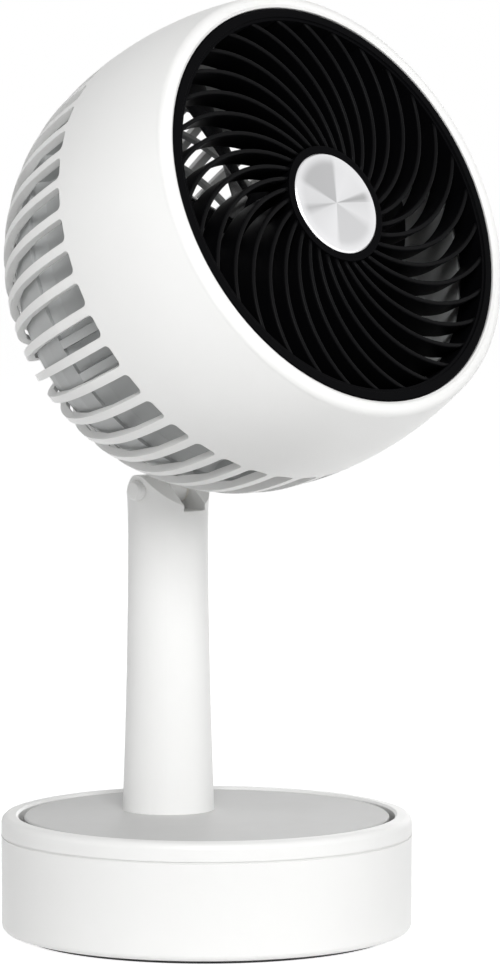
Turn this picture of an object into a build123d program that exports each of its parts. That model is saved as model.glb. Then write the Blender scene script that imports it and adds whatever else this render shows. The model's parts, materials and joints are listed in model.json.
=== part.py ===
"""Desk air circulator: a round head with a spiral front grille, tilting on a tapered post
that stands on a swinging turntable in a round base.

Millimetres, +Z up. The origin is the centre of the base where its foot rests. The fan blows
towards -Y and, at rest, its face leans back by FACE_TILT.
"""
import os
from math import asin, cos, hypot, pi, radians, sin, sqrt, tan

from build123d import *

os.makedirs("parts", exist_ok=True)

# ---------------------------------------------------------------- driving sizes: base
BASE_RADIUS = 75.0
BASE_HEIGHT = 43.7
BASE_WALL = 2.6
BASE_FOOT_ROUND = 2.4
ROUND_STEPS = 3
SEAM_HEIGHT = 36.3
SEAM_GAP = 0.6
RIM_WIDTH = 6.2
RIM_ROUND = 2.6
RIM_INNER_CHAMFER = 0.8
SKIRT_WALL = 2.2
FIT_GAP = 0.2
CUT_MARGIN = 1.0

FOOT_INSET = 6.0
FOOT_WIDTH = 6.0
FOOT_HEIGHT = 2.6
FOOT_GROOVE = 1.1
FOOT_CHAMFER = 0.4

COVER_THICKNESS = 2.5
COVER_SCREW_INSET = 19.0
COVER_SCREW_COUNT = 4
COVER_SCREW_LENGTH = 12.0
BOSS_RADIUS = 4.0

DECK_THICKNESS = 2.5
DECK_TOP = 32.0
SLEEVE_DROP = 2.5
SLEEVE_WALL = 3.0

WEIGHT_INNER_RADIUS = 30.0
WEIGHT_INSET = 9.0
WEIGHT_THICKNESS = 4.0

BOARD_SIZE = (34.0, 30.0, 1.6)
BOARD_INSET = 37.0
BOARD_OFFSET = 14.0
BOARD_DROP = 4.0
STANDOFF_INSET = 3.0
STANDOFF_RADIUS = 2.0
CHIP_SIZE = (8.0, 8.0, 1.8)
CHIP_OFFSET = (-5.0, 0.0)
CONNECTOR_SIZE = (6.0, 10.0, 1.8)
CONNECTOR_OFFSET = (9.0, -6.0)
CAPACITOR_RADIUS = 3.0
CAPACITOR_HEIGHT = 7.0
CAPACITOR_OFFSET = (6.0, 8.0)

SOCKET_WIDTH = 8.9
SOCKET_HEIGHT = 3.3
SOCKET_LENGTH = 9.0
SOCKET_LEVEL = 15.0
SOCKET_SHELL = 0.4
SOCKET_INSET = 0.6
SOCKET_DEPTH = 6.5
SOCKET_TONGUE = (6.5, 0.8)
SOCKET_BOARD = (16.0, 15.0, 1.6)
SOCKET_BOARD_INSET = 1.5
SHELF_THICKNESS = 1.6

# ---------------------------------------------------------------- driving sizes: turntable
PLATE_GAP = 2.1
PLATE_THICKNESS = 3.2
PLATE_SINK = 0.5
PLATE_CHAMFER = 0.5
PLATE_SKIN = 0.8
THRUST_WASHER = (13.0, 23.0, 1.1)
THRUST_GAP = 0.1
SPINDLE_RADIUS = 9.0
SPINDLE_BORE = 6.0
RUNNING_FIT = 0.05
CLIP_THICKNESS = 0.8
CLIP_RADIUS = 11.5
CLIP_GROOVE = 0.8
CLIP_GAP = 0.2

GEAR_MODULE = 1.5
GEAR_TEETH = 48
PINION_TEETH = 12
GEAR_WIDTH = 5.0
GEAR_HUB_RADIUS = 22.0
TOOTH_SHARE = 0.40
TOOTH_ADDENDUM = 0.85
TOOTH_DEDENDUM = 1.15
TOOTH_TIP_TAPER = 0.55
TOOTH_ROOT_TAPER = 1.45
GEAR_WINDOWS = 6
GEAR_WINDOW_RADIUS = 4.0
GEAR_WINDOW_RING_RADIUS = 28.0
GEAR_SCREW_RING_RADIUS = 15.5

DRIVE_RADIUS = 14.0
DRIVE_LENGTH = 18.0
DRIVE_EAR = (42.0, 8.0, 1.2)
DRIVE_SHAFT_RADIUS = 2.5
DRIVE_SHAFT_DEPTH = 8.0

# ---------------------------------------------------------------- driving sizes: post and tilt hinge
POST_SETBACK = 20.2
POST_FOOT_RADIUS = 16.9
POST_MIDDLE_RADIUS = 15.45
POST_WAIST_RADIUS = 14.7
POST_TOP_RADIUS = 15.9
POST_MIDDLE_SHARE = 0.43
POST_WAIST_DROP = 13.5
POST_BORE_RADIUS = 12.0
POST_FLOOR = 5.0
POST_HEAD_LENGTH = 22.0
POST_SCREW_RING_RADIUS = 9.5
CABLE_RADIUS = 3.0

HINGE_HEIGHT = 161.7
NOSE_RADIUS = 5.6
NOSE_SLOPE = 43.0
FORK_GAP = 10.4
FORK_DEPTH = 7.6
PIN_RADIUS = 2.0
PIN_REACH = 12.6
PIN_FIT = 0.03
CAP_RADIUS = 3.7
CAP_REACH = 17.8
CAP_CHAMFER = 0.8
TILT_WASHER_RADIUS = 5.6
TILT_WASHER = 0.9
LUG_SIDE_GAP = 0.1
LUG_RADIUS = 5.6
LUG_THICKNESS = 9.0

# ---------------------------------------------------------------- driving sizes: head
FACE_TILT = 23.1
ARM_LEAN = 24.5
SHELL_CLEARANCE = 8.1
MOUTH_RADIUS = 75.0
LIP_WIDTH = 5.3
LIP_PROUD = 0.8
LIP_BACK = 2.4
LIP_CREST = 1.0
LIP_CORNER = (0.7, 0.25)
SHOULDER_DEPTH = 70.0
REAR_SWELL = 5.0
REAR_OFFSET = 4.0
REAR_CENTRE_DEPTH = 55.7
REAR_FLAT_RADIUS = 34.0
SHELL_WALL = 2.6
SHELL_FRONT_STEPS = 3
SHELL_REAR_STEPS = 5
COLLAR_WALL = 2.2
COLLAR_DEPTH = 14.0
LIP_POCKET = 4.0

SLOT_COUNT = 44
SLOT_ANGLE = 5.8
SLOT_FRONT_DEPTH = 50.3
SLOT_REAR_RADIUS = 37.0
SLOT_ROUND = 2.0
SLOT_CUT_WIDTH = 22.0
SLOT_CUT_DEPTH = 30.0

PAD_SIZE = (29.0, 29.0)
PAD_DEPTH = 5.6
PAD_ROUND = 3.0
PAD_SKIN = 1.6
FLANGE_SIZE = (26.0, 26.0, 3.0)
FLANGE_SCREW_PITCH = (18.0, 18.0)

GRILLE_FIT = 0.3
BEZEL_WIDTH = 4.8
VANE_BITE = 0.6
BEZEL_LAND = 3.0
BEZEL_STEP_WIDTH = 1.2
BEZEL_STEP = 0.5
GRILLE_SKIRT_WALL = 1.6
GRILLE_SLEEVE_DEPTH = 12.0
VANE_COUNT = 33
VANE_SWEEP = 46.8
VANE_THICKNESS = 1.7
VANE_FRONT = 1.5
VANE_REAR = 11.5
HUB_RADIUS = 21.9
HUB_FRONT = 0.4
DISC_RADIUS = 19.0
DISC_THICKNESS = 2.0
DISC_FIT = 0.15
DISC_CHAMFER = 0.5

DUCT_INSET = 4.4
DUCT_WALL = 2.0
DUCT_FLANGE_REACH = 4.6
DUCT_FLANGE = 2.5
DUCT_LENGTH = 64.0
BELL_FLARE = 5.0
BAR_GROUPS = 6
BAR_PHASE = 21.0
BAR_SPREAD = 5.0
BAR_SIZE = (3.4, 24.0)
BAR_FRONT_DEPTH = 53.0
BAR_REACH = 2.6
DUCT_SCREW_COUNT = 4
DUCT_SCREW_REACH = 3.0
DUCT_BOSS_RADIUS = 2.6
DUCT_BOSS_OVERLAP = 0.5
DUCT_SCREW_HEAD_RADIUS = 1.5
DUCT_SCREW_BITE = 6.0

LINER_GAP = 1.5
LINER_WALL = 1.4
LINER_LIP = 1.6
LINER_REAR_INSET = 12.0
LINER_STEPS = 4
LOUVRE_ROWS = 3
LOUVRE_PITCH = 9.8
LOUVRE_OPENING = 8.4
LOUVRE_INSET = 3.0
LOUVRE_START = 24.0
LOUVRE_ARC = 57.0

MOUNT_FLANGE_RADIUS = 26.0
MOUNT_FLANGE = 3.0
MOUNT_NECK_RADIUS = 14.0
MOUNT_WALL = 2.0
MOUNT_NECK_DEPTH = 68.0
MOUNT_SCREW_RING_RADIUS = 23.0
BEARING_RADIUS = 5.5
BEARING_WIDTH = 4.0
BEARING_FRONT_DEPTH = 41.0
BEARING_REAR_DEPTH = 62.0
TUBE_RADIUS = 7.0
TUBE_STEP = 1.0
SHAFT_RADIUS = 2.5
SHAFT_FIT = 0.03
SHAFT_FRONT_DEPTH = 19.0
SHAFT_REAR_DEPTH = 67.0
STATOR_RADIUS = 13.5
STATOR_LENGTH = 14.0
STATOR_SETBACK = 2.0
STATOR_TEETH = 9
STATOR_SLOT_RADIUS = 1.7
AIR_GAP = 0.6
MAGNET_WALL = 1.4
MAGNET_LENGTH = 20.8
MAGNET_INSET = 1.0
CAN_WALL = 1.2
CAN_FRONT_DEPTH = 35.0
CAN_LENGTH = 26.0
HUB_WALL = 1.8
IMPELLER_FRONT_DEPTH = 24.0
HUB_CHAMFER = 5.0
BLADE_COUNT = 7
BLADE_TIP_GAP = 2.2
BLADE_THICKNESS = 1.8
BLADE_ROOT_ANGLE = 52.0
BLADE_TIP_ANGLE = 28.0
BLADE_ROOT_CHORD = 34.0
BLADE_TIP_CHORD = 52.0
BLADE_CAMBER = 0.10
BLADE_MIDDLE_DEPTH = 41.0
BLADE_ROOT_SINK = 2.5
BLADE_TIP_EXTRA = 5.0
NUT_RADIUS = 4.6
NUT_HEIGHT = 4.0

REAR_CAP_RADIUS = 31.0
REAR_CAP_THICKNESS = 3.2
REAR_CAP_CHAMFER = 1.2

SCREW_RADIUS = 1.5
SCREW_HEAD_RADIUS = 2.8
SCREW_HEAD = 1.6
SMALL_SCREW_RADIUS = 1.0
SMALL_SCREW_HEAD = 1.2
SCREW_FIT = 0.05

# ---------------------------------------------------------------- levels worked out from them
COVER_BOTTOM = FOOT_HEIGHT - FOOT_GROOVE
COVER_TOP = COVER_BOTTOM + COVER_THICKNESS
DECK_BOTTOM = DECK_TOP - DECK_THICKNESS
SLEEVE_BOTTOM = DECK_BOTTOM - SLEEVE_DROP
CAVITY_RADIUS = BASE_RADIUS - BASE_WALL
FOOT_OUTER_RADIUS = BASE_RADIUS - FOOT_INSET
FOOT_INNER_RADIUS = FOOT_OUTER_RADIUS - FOOT_WIDTH
COVER_SCREW_RING_RADIUS = BASE_RADIUS - COVER_SCREW_INSET
WEIGHT_OUTER_RADIUS = BASE_RADIUS - WEIGHT_INSET
RIM_BORE_RADIUS = BASE_RADIUS - RIM_WIDTH
PLATE_RADIUS = RIM_BORE_RADIUS - PLATE_GAP
BOARD_CENTRE = (BASE_RADIUS - BOARD_INSET, BOARD_OFFSET)
COVER_RADIUS = CAVITY_RADIUS - FIT_GAP
RIM_BOTTOM = SEAM_HEIGHT + SEAM_GAP
SKIRT_OUTER = CAVITY_RADIUS - FIT_GAP

PLATE_TOP = BASE_HEIGHT - PLATE_SINK
PLATE_BOTTOM = PLATE_TOP - PLATE_THICKNESS
WASHER_TOP = DECK_TOP + THRUST_WASHER[2]
GEAR_BOTTOM = WASHER_TOP + THRUST_GAP
GEAR_TOP = GEAR_BOTTOM + GEAR_WIDTH
SPINDLE_BOTTOM = SLEEVE_BOTTOM - CLIP_GAP - 2 * CLIP_THICKNESS
CLIP_TOP = SLEEVE_BOTTOM - CLIP_GAP
GEAR_PITCH_RADIUS = GEAR_MODULE * GEAR_TEETH / 2
PINION_PITCH_RADIUS = GEAR_MODULE * PINION_TEETH / 2
DRIVE_CENTRE = (0.0, -(GEAR_PITCH_RADIUS + PINION_PITCH_RADIUS))

POST_TOP = HINGE_HEIGHT + NOSE_RADIUS
POST_BOTTOM = PLATE_TOP
POST_WAIST = HINGE_HEIGHT - POST_WAIST_DROP
POST_MIDDLE = POST_BOTTOM + POST_MIDDLE_SHARE * (POST_WAIST - POST_BOTTOM)
HINGE = Vector(0, POST_SETBACK, HINGE_HEIGHT)
LUG_WIDTH = FORK_GAP - 2 * (TILT_WASHER + LUG_SIDE_GAP)

LIP_RADIUS = MOUTH_RADIUS + LIP_WIDTH
REAR_RADIUS = MOUTH_RADIUS + REAR_SWELL
BEZEL_BORE = MOUTH_RADIUS - BEZEL_WIDTH
BEZEL_STEP_RADIUS = BEZEL_BORE + BEZEL_STEP_WIDTH
DUCT_BORE = MOUTH_RADIUS - DUCT_INSET
DUCT_FLANGE_RADIUS = MOUTH_RADIUS + DUCT_FLANGE_REACH
DUCT_SCREW_RING_RADIUS = MOUTH_RADIUS + DUCT_SCREW_REACH
BAR_TIP_RADIUS = MOUTH_RADIUS + BAR_REACH
BLADE_TIP_RADIUS = DUCT_BORE - BLADE_TIP_GAP

tilt = radians(FACE_TILT)
lean = radians(ARM_LEAN)
FORWARD = Vector(0, -cos(tilt), sin(tilt))
UPWARD = Vector(0, sin(tilt), cos(tilt))
ARM = Vector(0, -sin(lean), cos(lean))
REAR_CENTRE = HINGE + ARM * (REAR_RADIUS + SHELL_CLEARANCE)
FACE_CENTRE = REAR_CENTRE + FORWARD * REAR_CENTRE_DEPTH + UPWARD * REAR_OFFSET

# FACE lies in the front opening and looks out of it; SECTION holds its axis, with the
# radius along X and the way forward along Y.
FACE = Plane(origin=FACE_CENTRE, x_dir=(1, 0, 0), z_dir=FORWARD)
SECTION = Plane(origin=FACE_CENTRE, x_dir=(1, 0, 0), z_dir=-UPWARD)
FACE_AXIS = Axis(FACE_CENTRE, FORWARD)
# LUG stands on the tilt hinge and looks squarely at the head's shell.
LUG = Plane(origin=HINGE, x_dir=(1, 0, 0), z_dir=ARM)
HINGE_SIDE = Plane(origin=HINGE, x_dir=(0, 1, 0), z_dir=(1, 0, 0))


def ring(inner, outer, bottom, height):
    """An upright ring about the base's axis, made in the part block it is called from."""
    with BuildSketch(Plane.XY.offset(bottom)) as outline:
        Circle(outer)
        if inner:
            Circle(inner, mode=Mode.SUBTRACT)
    extrude(outline.sketch, amount=height)


def stepped_round(radius, level, size, way):
    """Section points from a round wall to a flat end at a level, round the edge in short steps;
    way is 1 for an end that faces up and -1 for one that faces down."""
    turns = [radians(90 * step / ROUND_STEPS) for step in range(ROUND_STEPS + 1)]
    return [(radius - size * (1 - cos(turn)), level - way * size * (1 - sin(turn))) for turn in turns]


def gear_blank(teeth, pitch_radius, bottom, phase):
    """A spur gear with straight-sided teeth, one of them centred on the angle phase."""
    tip = pitch_radius + TOOTH_ADDENDUM * GEAR_MODULE
    root = pitch_radius - TOOTH_DEDENDUM * GEAR_MODULE
    half_tooth = pi * GEAR_MODULE * TOOTH_SHARE / 2
    half_tip = half_tooth * TOOTH_TIP_TAPER
    half_root = half_tooth * TOOTH_ROOT_TAPER
    with BuildSketch(Plane.XY.offset(bottom)) as outline:
        Circle(root)
        with PolarLocations(0, teeth, start_angle=phase):
            Polygon((root - GEAR_MODULE, -half_root), (root, -half_root), (tip, -half_tip),
                    (tip, half_tip), (root, half_root), (root - GEAR_MODULE, half_root), align=None)
    extrude(outline.sketch, amount=GEAR_WIDTH)


# ================================================================ base
# base_shell: cup with the deck that carries the turntable, open below
with BuildPart() as base_shell:
    with BuildSketch(Plane.XZ):
        with BuildLine():
            Polyline((0, DECK_TOP), (CAVITY_RADIUS, DECK_TOP), (CAVITY_RADIUS, SEAM_HEIGHT),
                     (BASE_RADIUS, SEAM_HEIGHT),
                     *stepped_round(BASE_RADIUS, COVER_BOTTOM, BASE_FOOT_ROUND, -1),
                     (CAVITY_RADIUS, COVER_BOTTOM), (CAVITY_RADIUS, DECK_BOTTOM),
                     (0, DECK_BOTTOM), close=True)
        make_face()
    revolve(axis=Axis.Z)
    ring(0, SPINDLE_RADIUS + SLEEVE_WALL, SLEEVE_BOTTOM, SLEEVE_DROP)
    # screw bosses from the deck down to the bottom cover
    with BuildSketch(Plane.XY.offset(COVER_TOP)):
        with PolarLocations(COVER_SCREW_RING_RADIUS, COVER_SCREW_COUNT, start_angle=45):
            Circle(BOSS_RADIUS)
    extrude(amount=DECK_BOTTOM - COVER_TOP)
    with BuildSketch(Plane.XY.offset(COVER_TOP)):
        with PolarLocations(COVER_SCREW_RING_RADIUS, COVER_SCREW_COUNT, start_angle=45):
            Circle(SCREW_RADIUS + SCREW_FIT)
    extrude(amount=COVER_SCREW_LENGTH, mode=Mode.SUBTRACT)
    # standoffs of the control board
    with BuildSketch(Plane.XY.offset(DECK_BOTTOM - BOARD_DROP)):
        with Locations(BOARD_CENTRE):
            with GridLocations(BOARD_SIZE[0] - 2 * STANDOFF_INSET, BOARD_SIZE[1] - 2 * STANDOFF_INSET, 2, 2):
                Circle(STANDOFF_RADIUS)
    extrude(amount=BOARD_DROP)
    # shelf and opening of the power socket
    shelf_top = SOCKET_LEVEL - SOCKET_HEIGHT / 2 - SOCKET_BOARD[2]
    with BuildSketch(Plane.XY.offset(shelf_top - SHELF_THICKNESS)):
        with Locations((0, CAVITY_RADIUS - SOCKET_BOARD[1] / 2)):
            Rectangle(SOCKET_BOARD[0] + 2 * CUT_MARGIN, SOCKET_BOARD[1] + CUT_MARGIN)
    extrude(amount=SHELF_THICKNESS)
    with BuildSketch(Plane.XZ.offset(-BASE_RADIUS - CUT_MARGIN)):
        with Locations((0, SOCKET_LEVEL)):
            SlotOverall(SOCKET_WIDTH + 2 * FIT_GAP, SOCKET_HEIGHT + 2 * FIT_GAP)
    extrude(amount=BASE_WALL + 4 * CUT_MARGIN, mode=Mode.SUBTRACT)
    # bores of the spindle and of the drive shaft
    with Locations((0, 0, DECK_TOP)):
        Hole(SPINDLE_RADIUS + RUNNING_FIT)
    with Locations((*DRIVE_CENTRE, DECK_TOP)):
        Hole(DRIVE_SHAFT_RADIUS + FIT_GAP, depth=DECK_THICKNESS)
base_shell.part.label = "base_shell"
export_step(base_shell.part, "parts/base_shell.step")

# base_rim: rounded ring round the turntable, its skirt standing on the deck
with BuildPart() as base_rim:
    with BuildSketch(Plane.XZ):
        with BuildLine():
            Polyline((RIM_BORE_RADIUS, RIM_BOTTOM), (SKIRT_OUTER - SKIRT_WALL, RIM_BOTTOM),
                     (SKIRT_OUTER - SKIRT_WALL, DECK_TOP), (SKIRT_OUTER, DECK_TOP), (SKIRT_OUTER, RIM_BOTTOM),
                     (BASE_RADIUS, RIM_BOTTOM), *stepped_round(BASE_RADIUS, BASE_HEIGHT, RIM_ROUND, 1),
                     (RIM_BORE_RADIUS + RIM_INNER_CHAMFER, BASE_HEIGHT),
                     (RIM_BORE_RADIUS, BASE_HEIGHT - RIM_INNER_CHAMFER), close=True)
        make_face()
    revolve(axis=Axis.Z)
base_rim.part.label = "base_rim"
export_step(base_rim.part, "parts/base_rim.step")

# base_cover: bottom plate with the groove of the foot and sunk screw heads
with BuildPart() as base_cover:
    ring(0, COVER_RADIUS, COVER_BOTTOM, COVER_THICKNESS)
    with BuildSketch(Plane.XY.offset(COVER_BOTTOM)):
        Circle(FOOT_OUTER_RADIUS + FIT_GAP)
        Circle(FOOT_INNER_RADIUS - FIT_GAP, mode=Mode.SUBTRACT)
    extrude(amount=FOOT_GROOVE, mode=Mode.SUBTRACT)
    with BuildSketch(Plane.XY.offset(COVER_BOTTOM)):
        with PolarLocations(COVER_SCREW_RING_RADIUS, COVER_SCREW_COUNT, start_angle=45):
            Circle(SCREW_HEAD_RADIUS + FIT_GAP)
    extrude(amount=SCREW_HEAD, mode=Mode.SUBTRACT)
    with BuildSketch(Plane.XY.offset(COVER_BOTTOM)):
        with PolarLocations(COVER_SCREW_RING_RADIUS, COVER_SCREW_COUNT, start_angle=45):
            Circle(SCREW_RADIUS + FIT_GAP)
    extrude(amount=COVER_THICKNESS, mode=Mode.SUBTRACT)
base_cover.part.label = "base_cover"
export_step(base_cover.part, "parts/base_cover.step")

# rubber_foot: ring that the fan stands on, in the groove of the bottom plate
with BuildPart() as rubber_foot:
    ring(FOOT_INNER_RADIUS, FOOT_OUTER_RADIUS, 0, FOOT_HEIGHT)
    chamfer(rubber_foot.edges().group_by(Axis.Z)[0], FOOT_CHAMFER)
rubber_foot.part.label = "rubber_foot"
export_step(rubber_foot.part, "parts/rubber_foot.step")

# cover_screws: four, from below into the bosses of the shell
with BuildPart() as cover_screws:
    screw_head_bottom = COVER_BOTTOM
    with BuildSketch(Plane.XY.offset(screw_head_bottom)):
        with PolarLocations(COVER_SCREW_RING_RADIUS, COVER_SCREW_COUNT, start_angle=45):
            Circle(SCREW_HEAD_RADIUS)
    extrude(amount=SCREW_HEAD)
    with BuildSketch(Plane.XY.offset(screw_head_bottom + SCREW_HEAD)):
        with PolarLocations(COVER_SCREW_RING_RADIUS, COVER_SCREW_COUNT, start_angle=45):
            Circle(SCREW_RADIUS)
    extrude(amount=COVER_SCREW_LENGTH - SCREW_HEAD)
cover_screws.part.label = "cover_screws"
export_step(cover_screws.part, "parts/cover_screws.step")

# counterweight: steel ring lying on the bottom cover, pierced for the bosses
with BuildPart() as counterweight:
    ring(WEIGHT_INNER_RADIUS, WEIGHT_OUTER_RADIUS, COVER_TOP, WEIGHT_THICKNESS)
    with BuildSketch(Plane.XY.offset(COVER_TOP)):
        with PolarLocations(COVER_SCREW_RING_RADIUS, COVER_SCREW_COUNT, start_angle=45):
            Circle(BOSS_RADIUS + FIT_GAP)
    extrude(amount=WEIGHT_THICKNESS, mode=Mode.SUBTRACT)
counterweight.part.label = "counterweight"
export_step(counterweight.part, "parts/counterweight.step")

# control_board: circuit board under the deck with its main components
with BuildPart() as control_board:
    board_top = DECK_BOTTOM - BOARD_DROP
    with BuildSketch(Plane.XY.offset(board_top - BOARD_SIZE[2])):
        with Locations(BOARD_CENTRE):
            Rectangle(BOARD_SIZE[0], BOARD_SIZE[1])
    extrude(amount=BOARD_SIZE[2])
    for part_size, offset in ((CHIP_SIZE, CHIP_OFFSET), (CONNECTOR_SIZE, CONNECTOR_OFFSET)):
        with BuildSketch(Plane.XY.offset(board_top - BOARD_SIZE[2])):
            with Locations((BOARD_CENTRE[0] + offset[0], BOARD_CENTRE[1] + offset[1])):
                Rectangle(part_size[0], part_size[1])
        extrude(amount=-part_size[2])
    with BuildSketch(Plane.XY.offset(board_top - BOARD_SIZE[2])):
        with Locations((BOARD_CENTRE[0] + CAPACITOR_OFFSET[0], BOARD_CENTRE[1] + CAPACITOR_OFFSET[1])):
            Circle(CAPACITOR_RADIUS)
    extrude(amount=-CAPACITOR_HEIGHT)
control_board.part.label = "control_board"
export_step(control_board.part, "parts/control_board.step")

# power_socket: metal-shelled oblong inlet on its small board, at the back of the base
socket_mouth = BASE_RADIUS - SOCKET_INSET
with BuildPart() as power_socket:
    with BuildSketch(Plane.XZ.offset(-socket_mouth)):
        with Locations((0, SOCKET_LEVEL)):
            SlotOverall(SOCKET_WIDTH, SOCKET_HEIGHT)
    extrude(amount=SOCKET_LENGTH)
    with BuildSketch(Plane.XZ.offset(-socket_mouth)):
        with Locations((0, SOCKET_LEVEL)):
            SlotOverall(SOCKET_WIDTH - 2 * SOCKET_SHELL, SOCKET_HEIGHT - 2 * SOCKET_SHELL)
            Rectangle(SOCKET_TONGUE[0], SOCKET_TONGUE[1], mode=Mode.SUBTRACT)
    extrude(amount=SOCKET_DEPTH, mode=Mode.SUBTRACT)
    with BuildSketch(Plane.XY.offset(SOCKET_LEVEL - SOCKET_HEIGHT / 2)):
        with Locations((0, CAVITY_RADIUS - SOCKET_BOARD_INSET - SOCKET_BOARD[1] / 2)):
            Rectangle(SOCKET_BOARD[0], SOCKET_BOARD[1])
    extrude(amount=-SOCKET_BOARD[2])
power_socket.part.label = "power_socket"
export_step(power_socket.part, "parts/power_socket.step")

# swing_motor: small geared motor hung under the deck by its two ears
with BuildPart() as swing_motor:
    with BuildSketch(Plane.XY.offset(DECK_BOTTOM)):
        with Locations(DRIVE_CENTRE):
            Circle(DRIVE_RADIUS)
    extrude(amount=-DRIVE_LENGTH)
    with BuildSketch(Plane.XY.offset(DECK_BOTTOM)):
        with Locations(DRIVE_CENTRE):
            SlotOverall(DRIVE_EAR[0], DRIVE_EAR[1])
            with GridLocations(DRIVE_EAR[0] - DRIVE_EAR[1], 0, 2, 1):
                Circle(SCREW_RADIUS + SCREW_FIT, mode=Mode.SUBTRACT)
    extrude(amount=-DRIVE_EAR[2])
    with Locations((*DRIVE_CENTRE, DECK_BOTTOM)):
        Hole(DRIVE_SHAFT_RADIUS + RUNNING_FIT, depth=DRIVE_SHAFT_DEPTH)
swing_motor.part.label = "swing_motor"
export_step(swing_motor.part, "parts/swing_motor.step")

# swing_pinion: twelve teeth on a shaft that stands in the motor
with BuildPart() as swing_pinion_blank:
    gear_blank(PINION_TEETH, PINION_PITCH_RADIUS, GEAR_BOTTOM, 90 + 180 / PINION_TEETH)
with BuildPart() as swing_pinion:
    with Locations((*DRIVE_CENTRE, 0)):
        add(swing_pinion_blank.part)
    with BuildSketch(Plane.XY.offset(DECK_BOTTOM - DRIVE_SHAFT_DEPTH + FIT_GAP)):
        with Locations(DRIVE_CENTRE):
            Circle(DRIVE_SHAFT_RADIUS)
    extrude(amount=GEAR_BOTTOM - DECK_BOTTOM + DRIVE_SHAFT_DEPTH)
swing_pinion.part.label = "swing_pinion"
export_step(swing_pinion.part, "parts/swing_pinion.step")

# thrust_washer: slippery ring between the deck and the gear
with BuildPart() as thrust_washer:
    ring(THRUST_WASHER[0], THRUST_WASHER[1], DECK_TOP, THRUST_WASHER[2])
thrust_washer.part.label = "thrust_washer"
export_step(thrust_washer.part, "parts/thrust_washer.step")

# ================================================================ turntable
# turntable_plate: the disc inside the rim, with holes for the screws of the post and gear
with BuildPart() as turntable_plate:
    ring(0, PLATE_RADIUS, PLATE_BOTTOM, PLATE_THICKNESS)
    chamfer(turntable_plate.edges().group_by(Axis.Z)[-1], PLATE_CHAMFER)
    with BuildSketch(Plane.XY.offset(PLATE_BOTTOM)):
        with Locations((0, POST_SETBACK)):
            with PolarLocations(POST_SCREW_RING_RADIUS, 3, start_angle=90):
                Circle(SCREW_RADIUS + SCREW_FIT)
            Circle(CABLE_RADIUS)
    extrude(amount=PLATE_THICKNESS, mode=Mode.SUBTRACT)
    with BuildSketch(Plane.XY.offset(PLATE_BOTTOM)):
        with PolarLocations(GEAR_SCREW_RING_RADIUS, 3, start_angle=-90):
            Circle(SCREW_RADIUS + SCREW_FIT)
    extrude(amount=PLATE_THICKNESS - PLATE_SKIN, mode=Mode.SUBTRACT)
turntable_plate.part.label = "turntable_plate"
export_step(turntable_plate.part, "parts/turntable_plate.step")

# swing_gear: spur gear with windows, a hub that meets the plate and a hollow spindle below
with BuildPart() as swing_gear:
    gear_blank(GEAR_TEETH, GEAR_PITCH_RADIUS, GEAR_BOTTOM, -90)
    with BuildSketch(Plane.XY.offset(GEAR_BOTTOM)):
        with PolarLocations(GEAR_WINDOW_RING_RADIUS, GEAR_WINDOWS, start_angle=-60):
            Circle(GEAR_WINDOW_RADIUS)
    extrude(amount=GEAR_WIDTH, mode=Mode.SUBTRACT)
    ring(0, GEAR_HUB_RADIUS, GEAR_TOP, PLATE_BOTTOM - GEAR_TOP)
    ring(0, SPINDLE_RADIUS, SPINDLE_BOTTOM, GEAR_BOTTOM - SPINDLE_BOTTOM)
    # groove of the retaining clip
    with BuildSketch(Plane.XY.offset(CLIP_TOP - CLIP_THICKNESS)):
        Circle(SPINDLE_RADIUS + CUT_MARGIN)
        Circle(SPINDLE_RADIUS - CLIP_GROOVE, mode=Mode.SUBTRACT)
    extrude(amount=CLIP_THICKNESS, mode=Mode.SUBTRACT)
    with Locations((0, 0, PLATE_BOTTOM)):
        Hole(SPINDLE_BORE)
    # sunk heads and shanks of the three screws, and room for the heads of the post's screws
    with BuildSketch(Plane.XY.offset(GEAR_BOTTOM)):
        with PolarLocations(GEAR_SCREW_RING_RADIUS, 3, start_angle=-90):
            Circle(SCREW_HEAD_RADIUS + FIT_GAP)
    extrude(amount=SCREW_HEAD + FIT_GAP, mode=Mode.SUBTRACT)
    with BuildSketch(Plane.XY.offset(GEAR_BOTTOM)):
        with PolarLocations(GEAR_SCREW_RING_RADIUS, 3, start_angle=-90):
            Circle(SCREW_RADIUS + SCREW_FIT)
    extrude(amount=PLATE_BOTTOM - GEAR_BOTTOM, mode=Mode.SUBTRACT)
    with BuildSketch(Plane.XY.offset(PLATE_BOTTOM)):
        with Locations((0, POST_SETBACK)):
            Circle(POST_SCREW_RING_RADIUS + SCREW_HEAD_RADIUS + 2 * FIT_GAP)
    extrude(amount=GEAR_TOP - PLATE_BOTTOM, mode=Mode.SUBTRACT)
swing_gear.part.label = "swing_gear"
export_step(swing_gear.part, "parts/swing_gear.step")

# gear_screws: three, from below through the gear into the plate
with BuildPart() as gear_screws:
    gear_screw_bottom = GEAR_BOTTOM + FIT_GAP
    with BuildSketch(Plane.XY.offset(gear_screw_bottom)):
        with PolarLocations(GEAR_SCREW_RING_RADIUS, 3, start_angle=-90):
            Circle(SCREW_HEAD_RADIUS)
    extrude(amount=SCREW_HEAD)
    with BuildSketch(Plane.XY.offset(gear_screw_bottom + SCREW_HEAD)):
        with PolarLocations(GEAR_SCREW_RING_RADIUS, 3, start_angle=-90):
            Circle(SCREW_RADIUS)
    extrude(amount=PLATE_TOP - PLATE_SKIN - FIT_GAP - gear_screw_bottom - SCREW_HEAD)
gear_screws.part.label = "gear_screws"
export_step(gear_screws.part, "parts/gear_screws.step")

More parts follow.
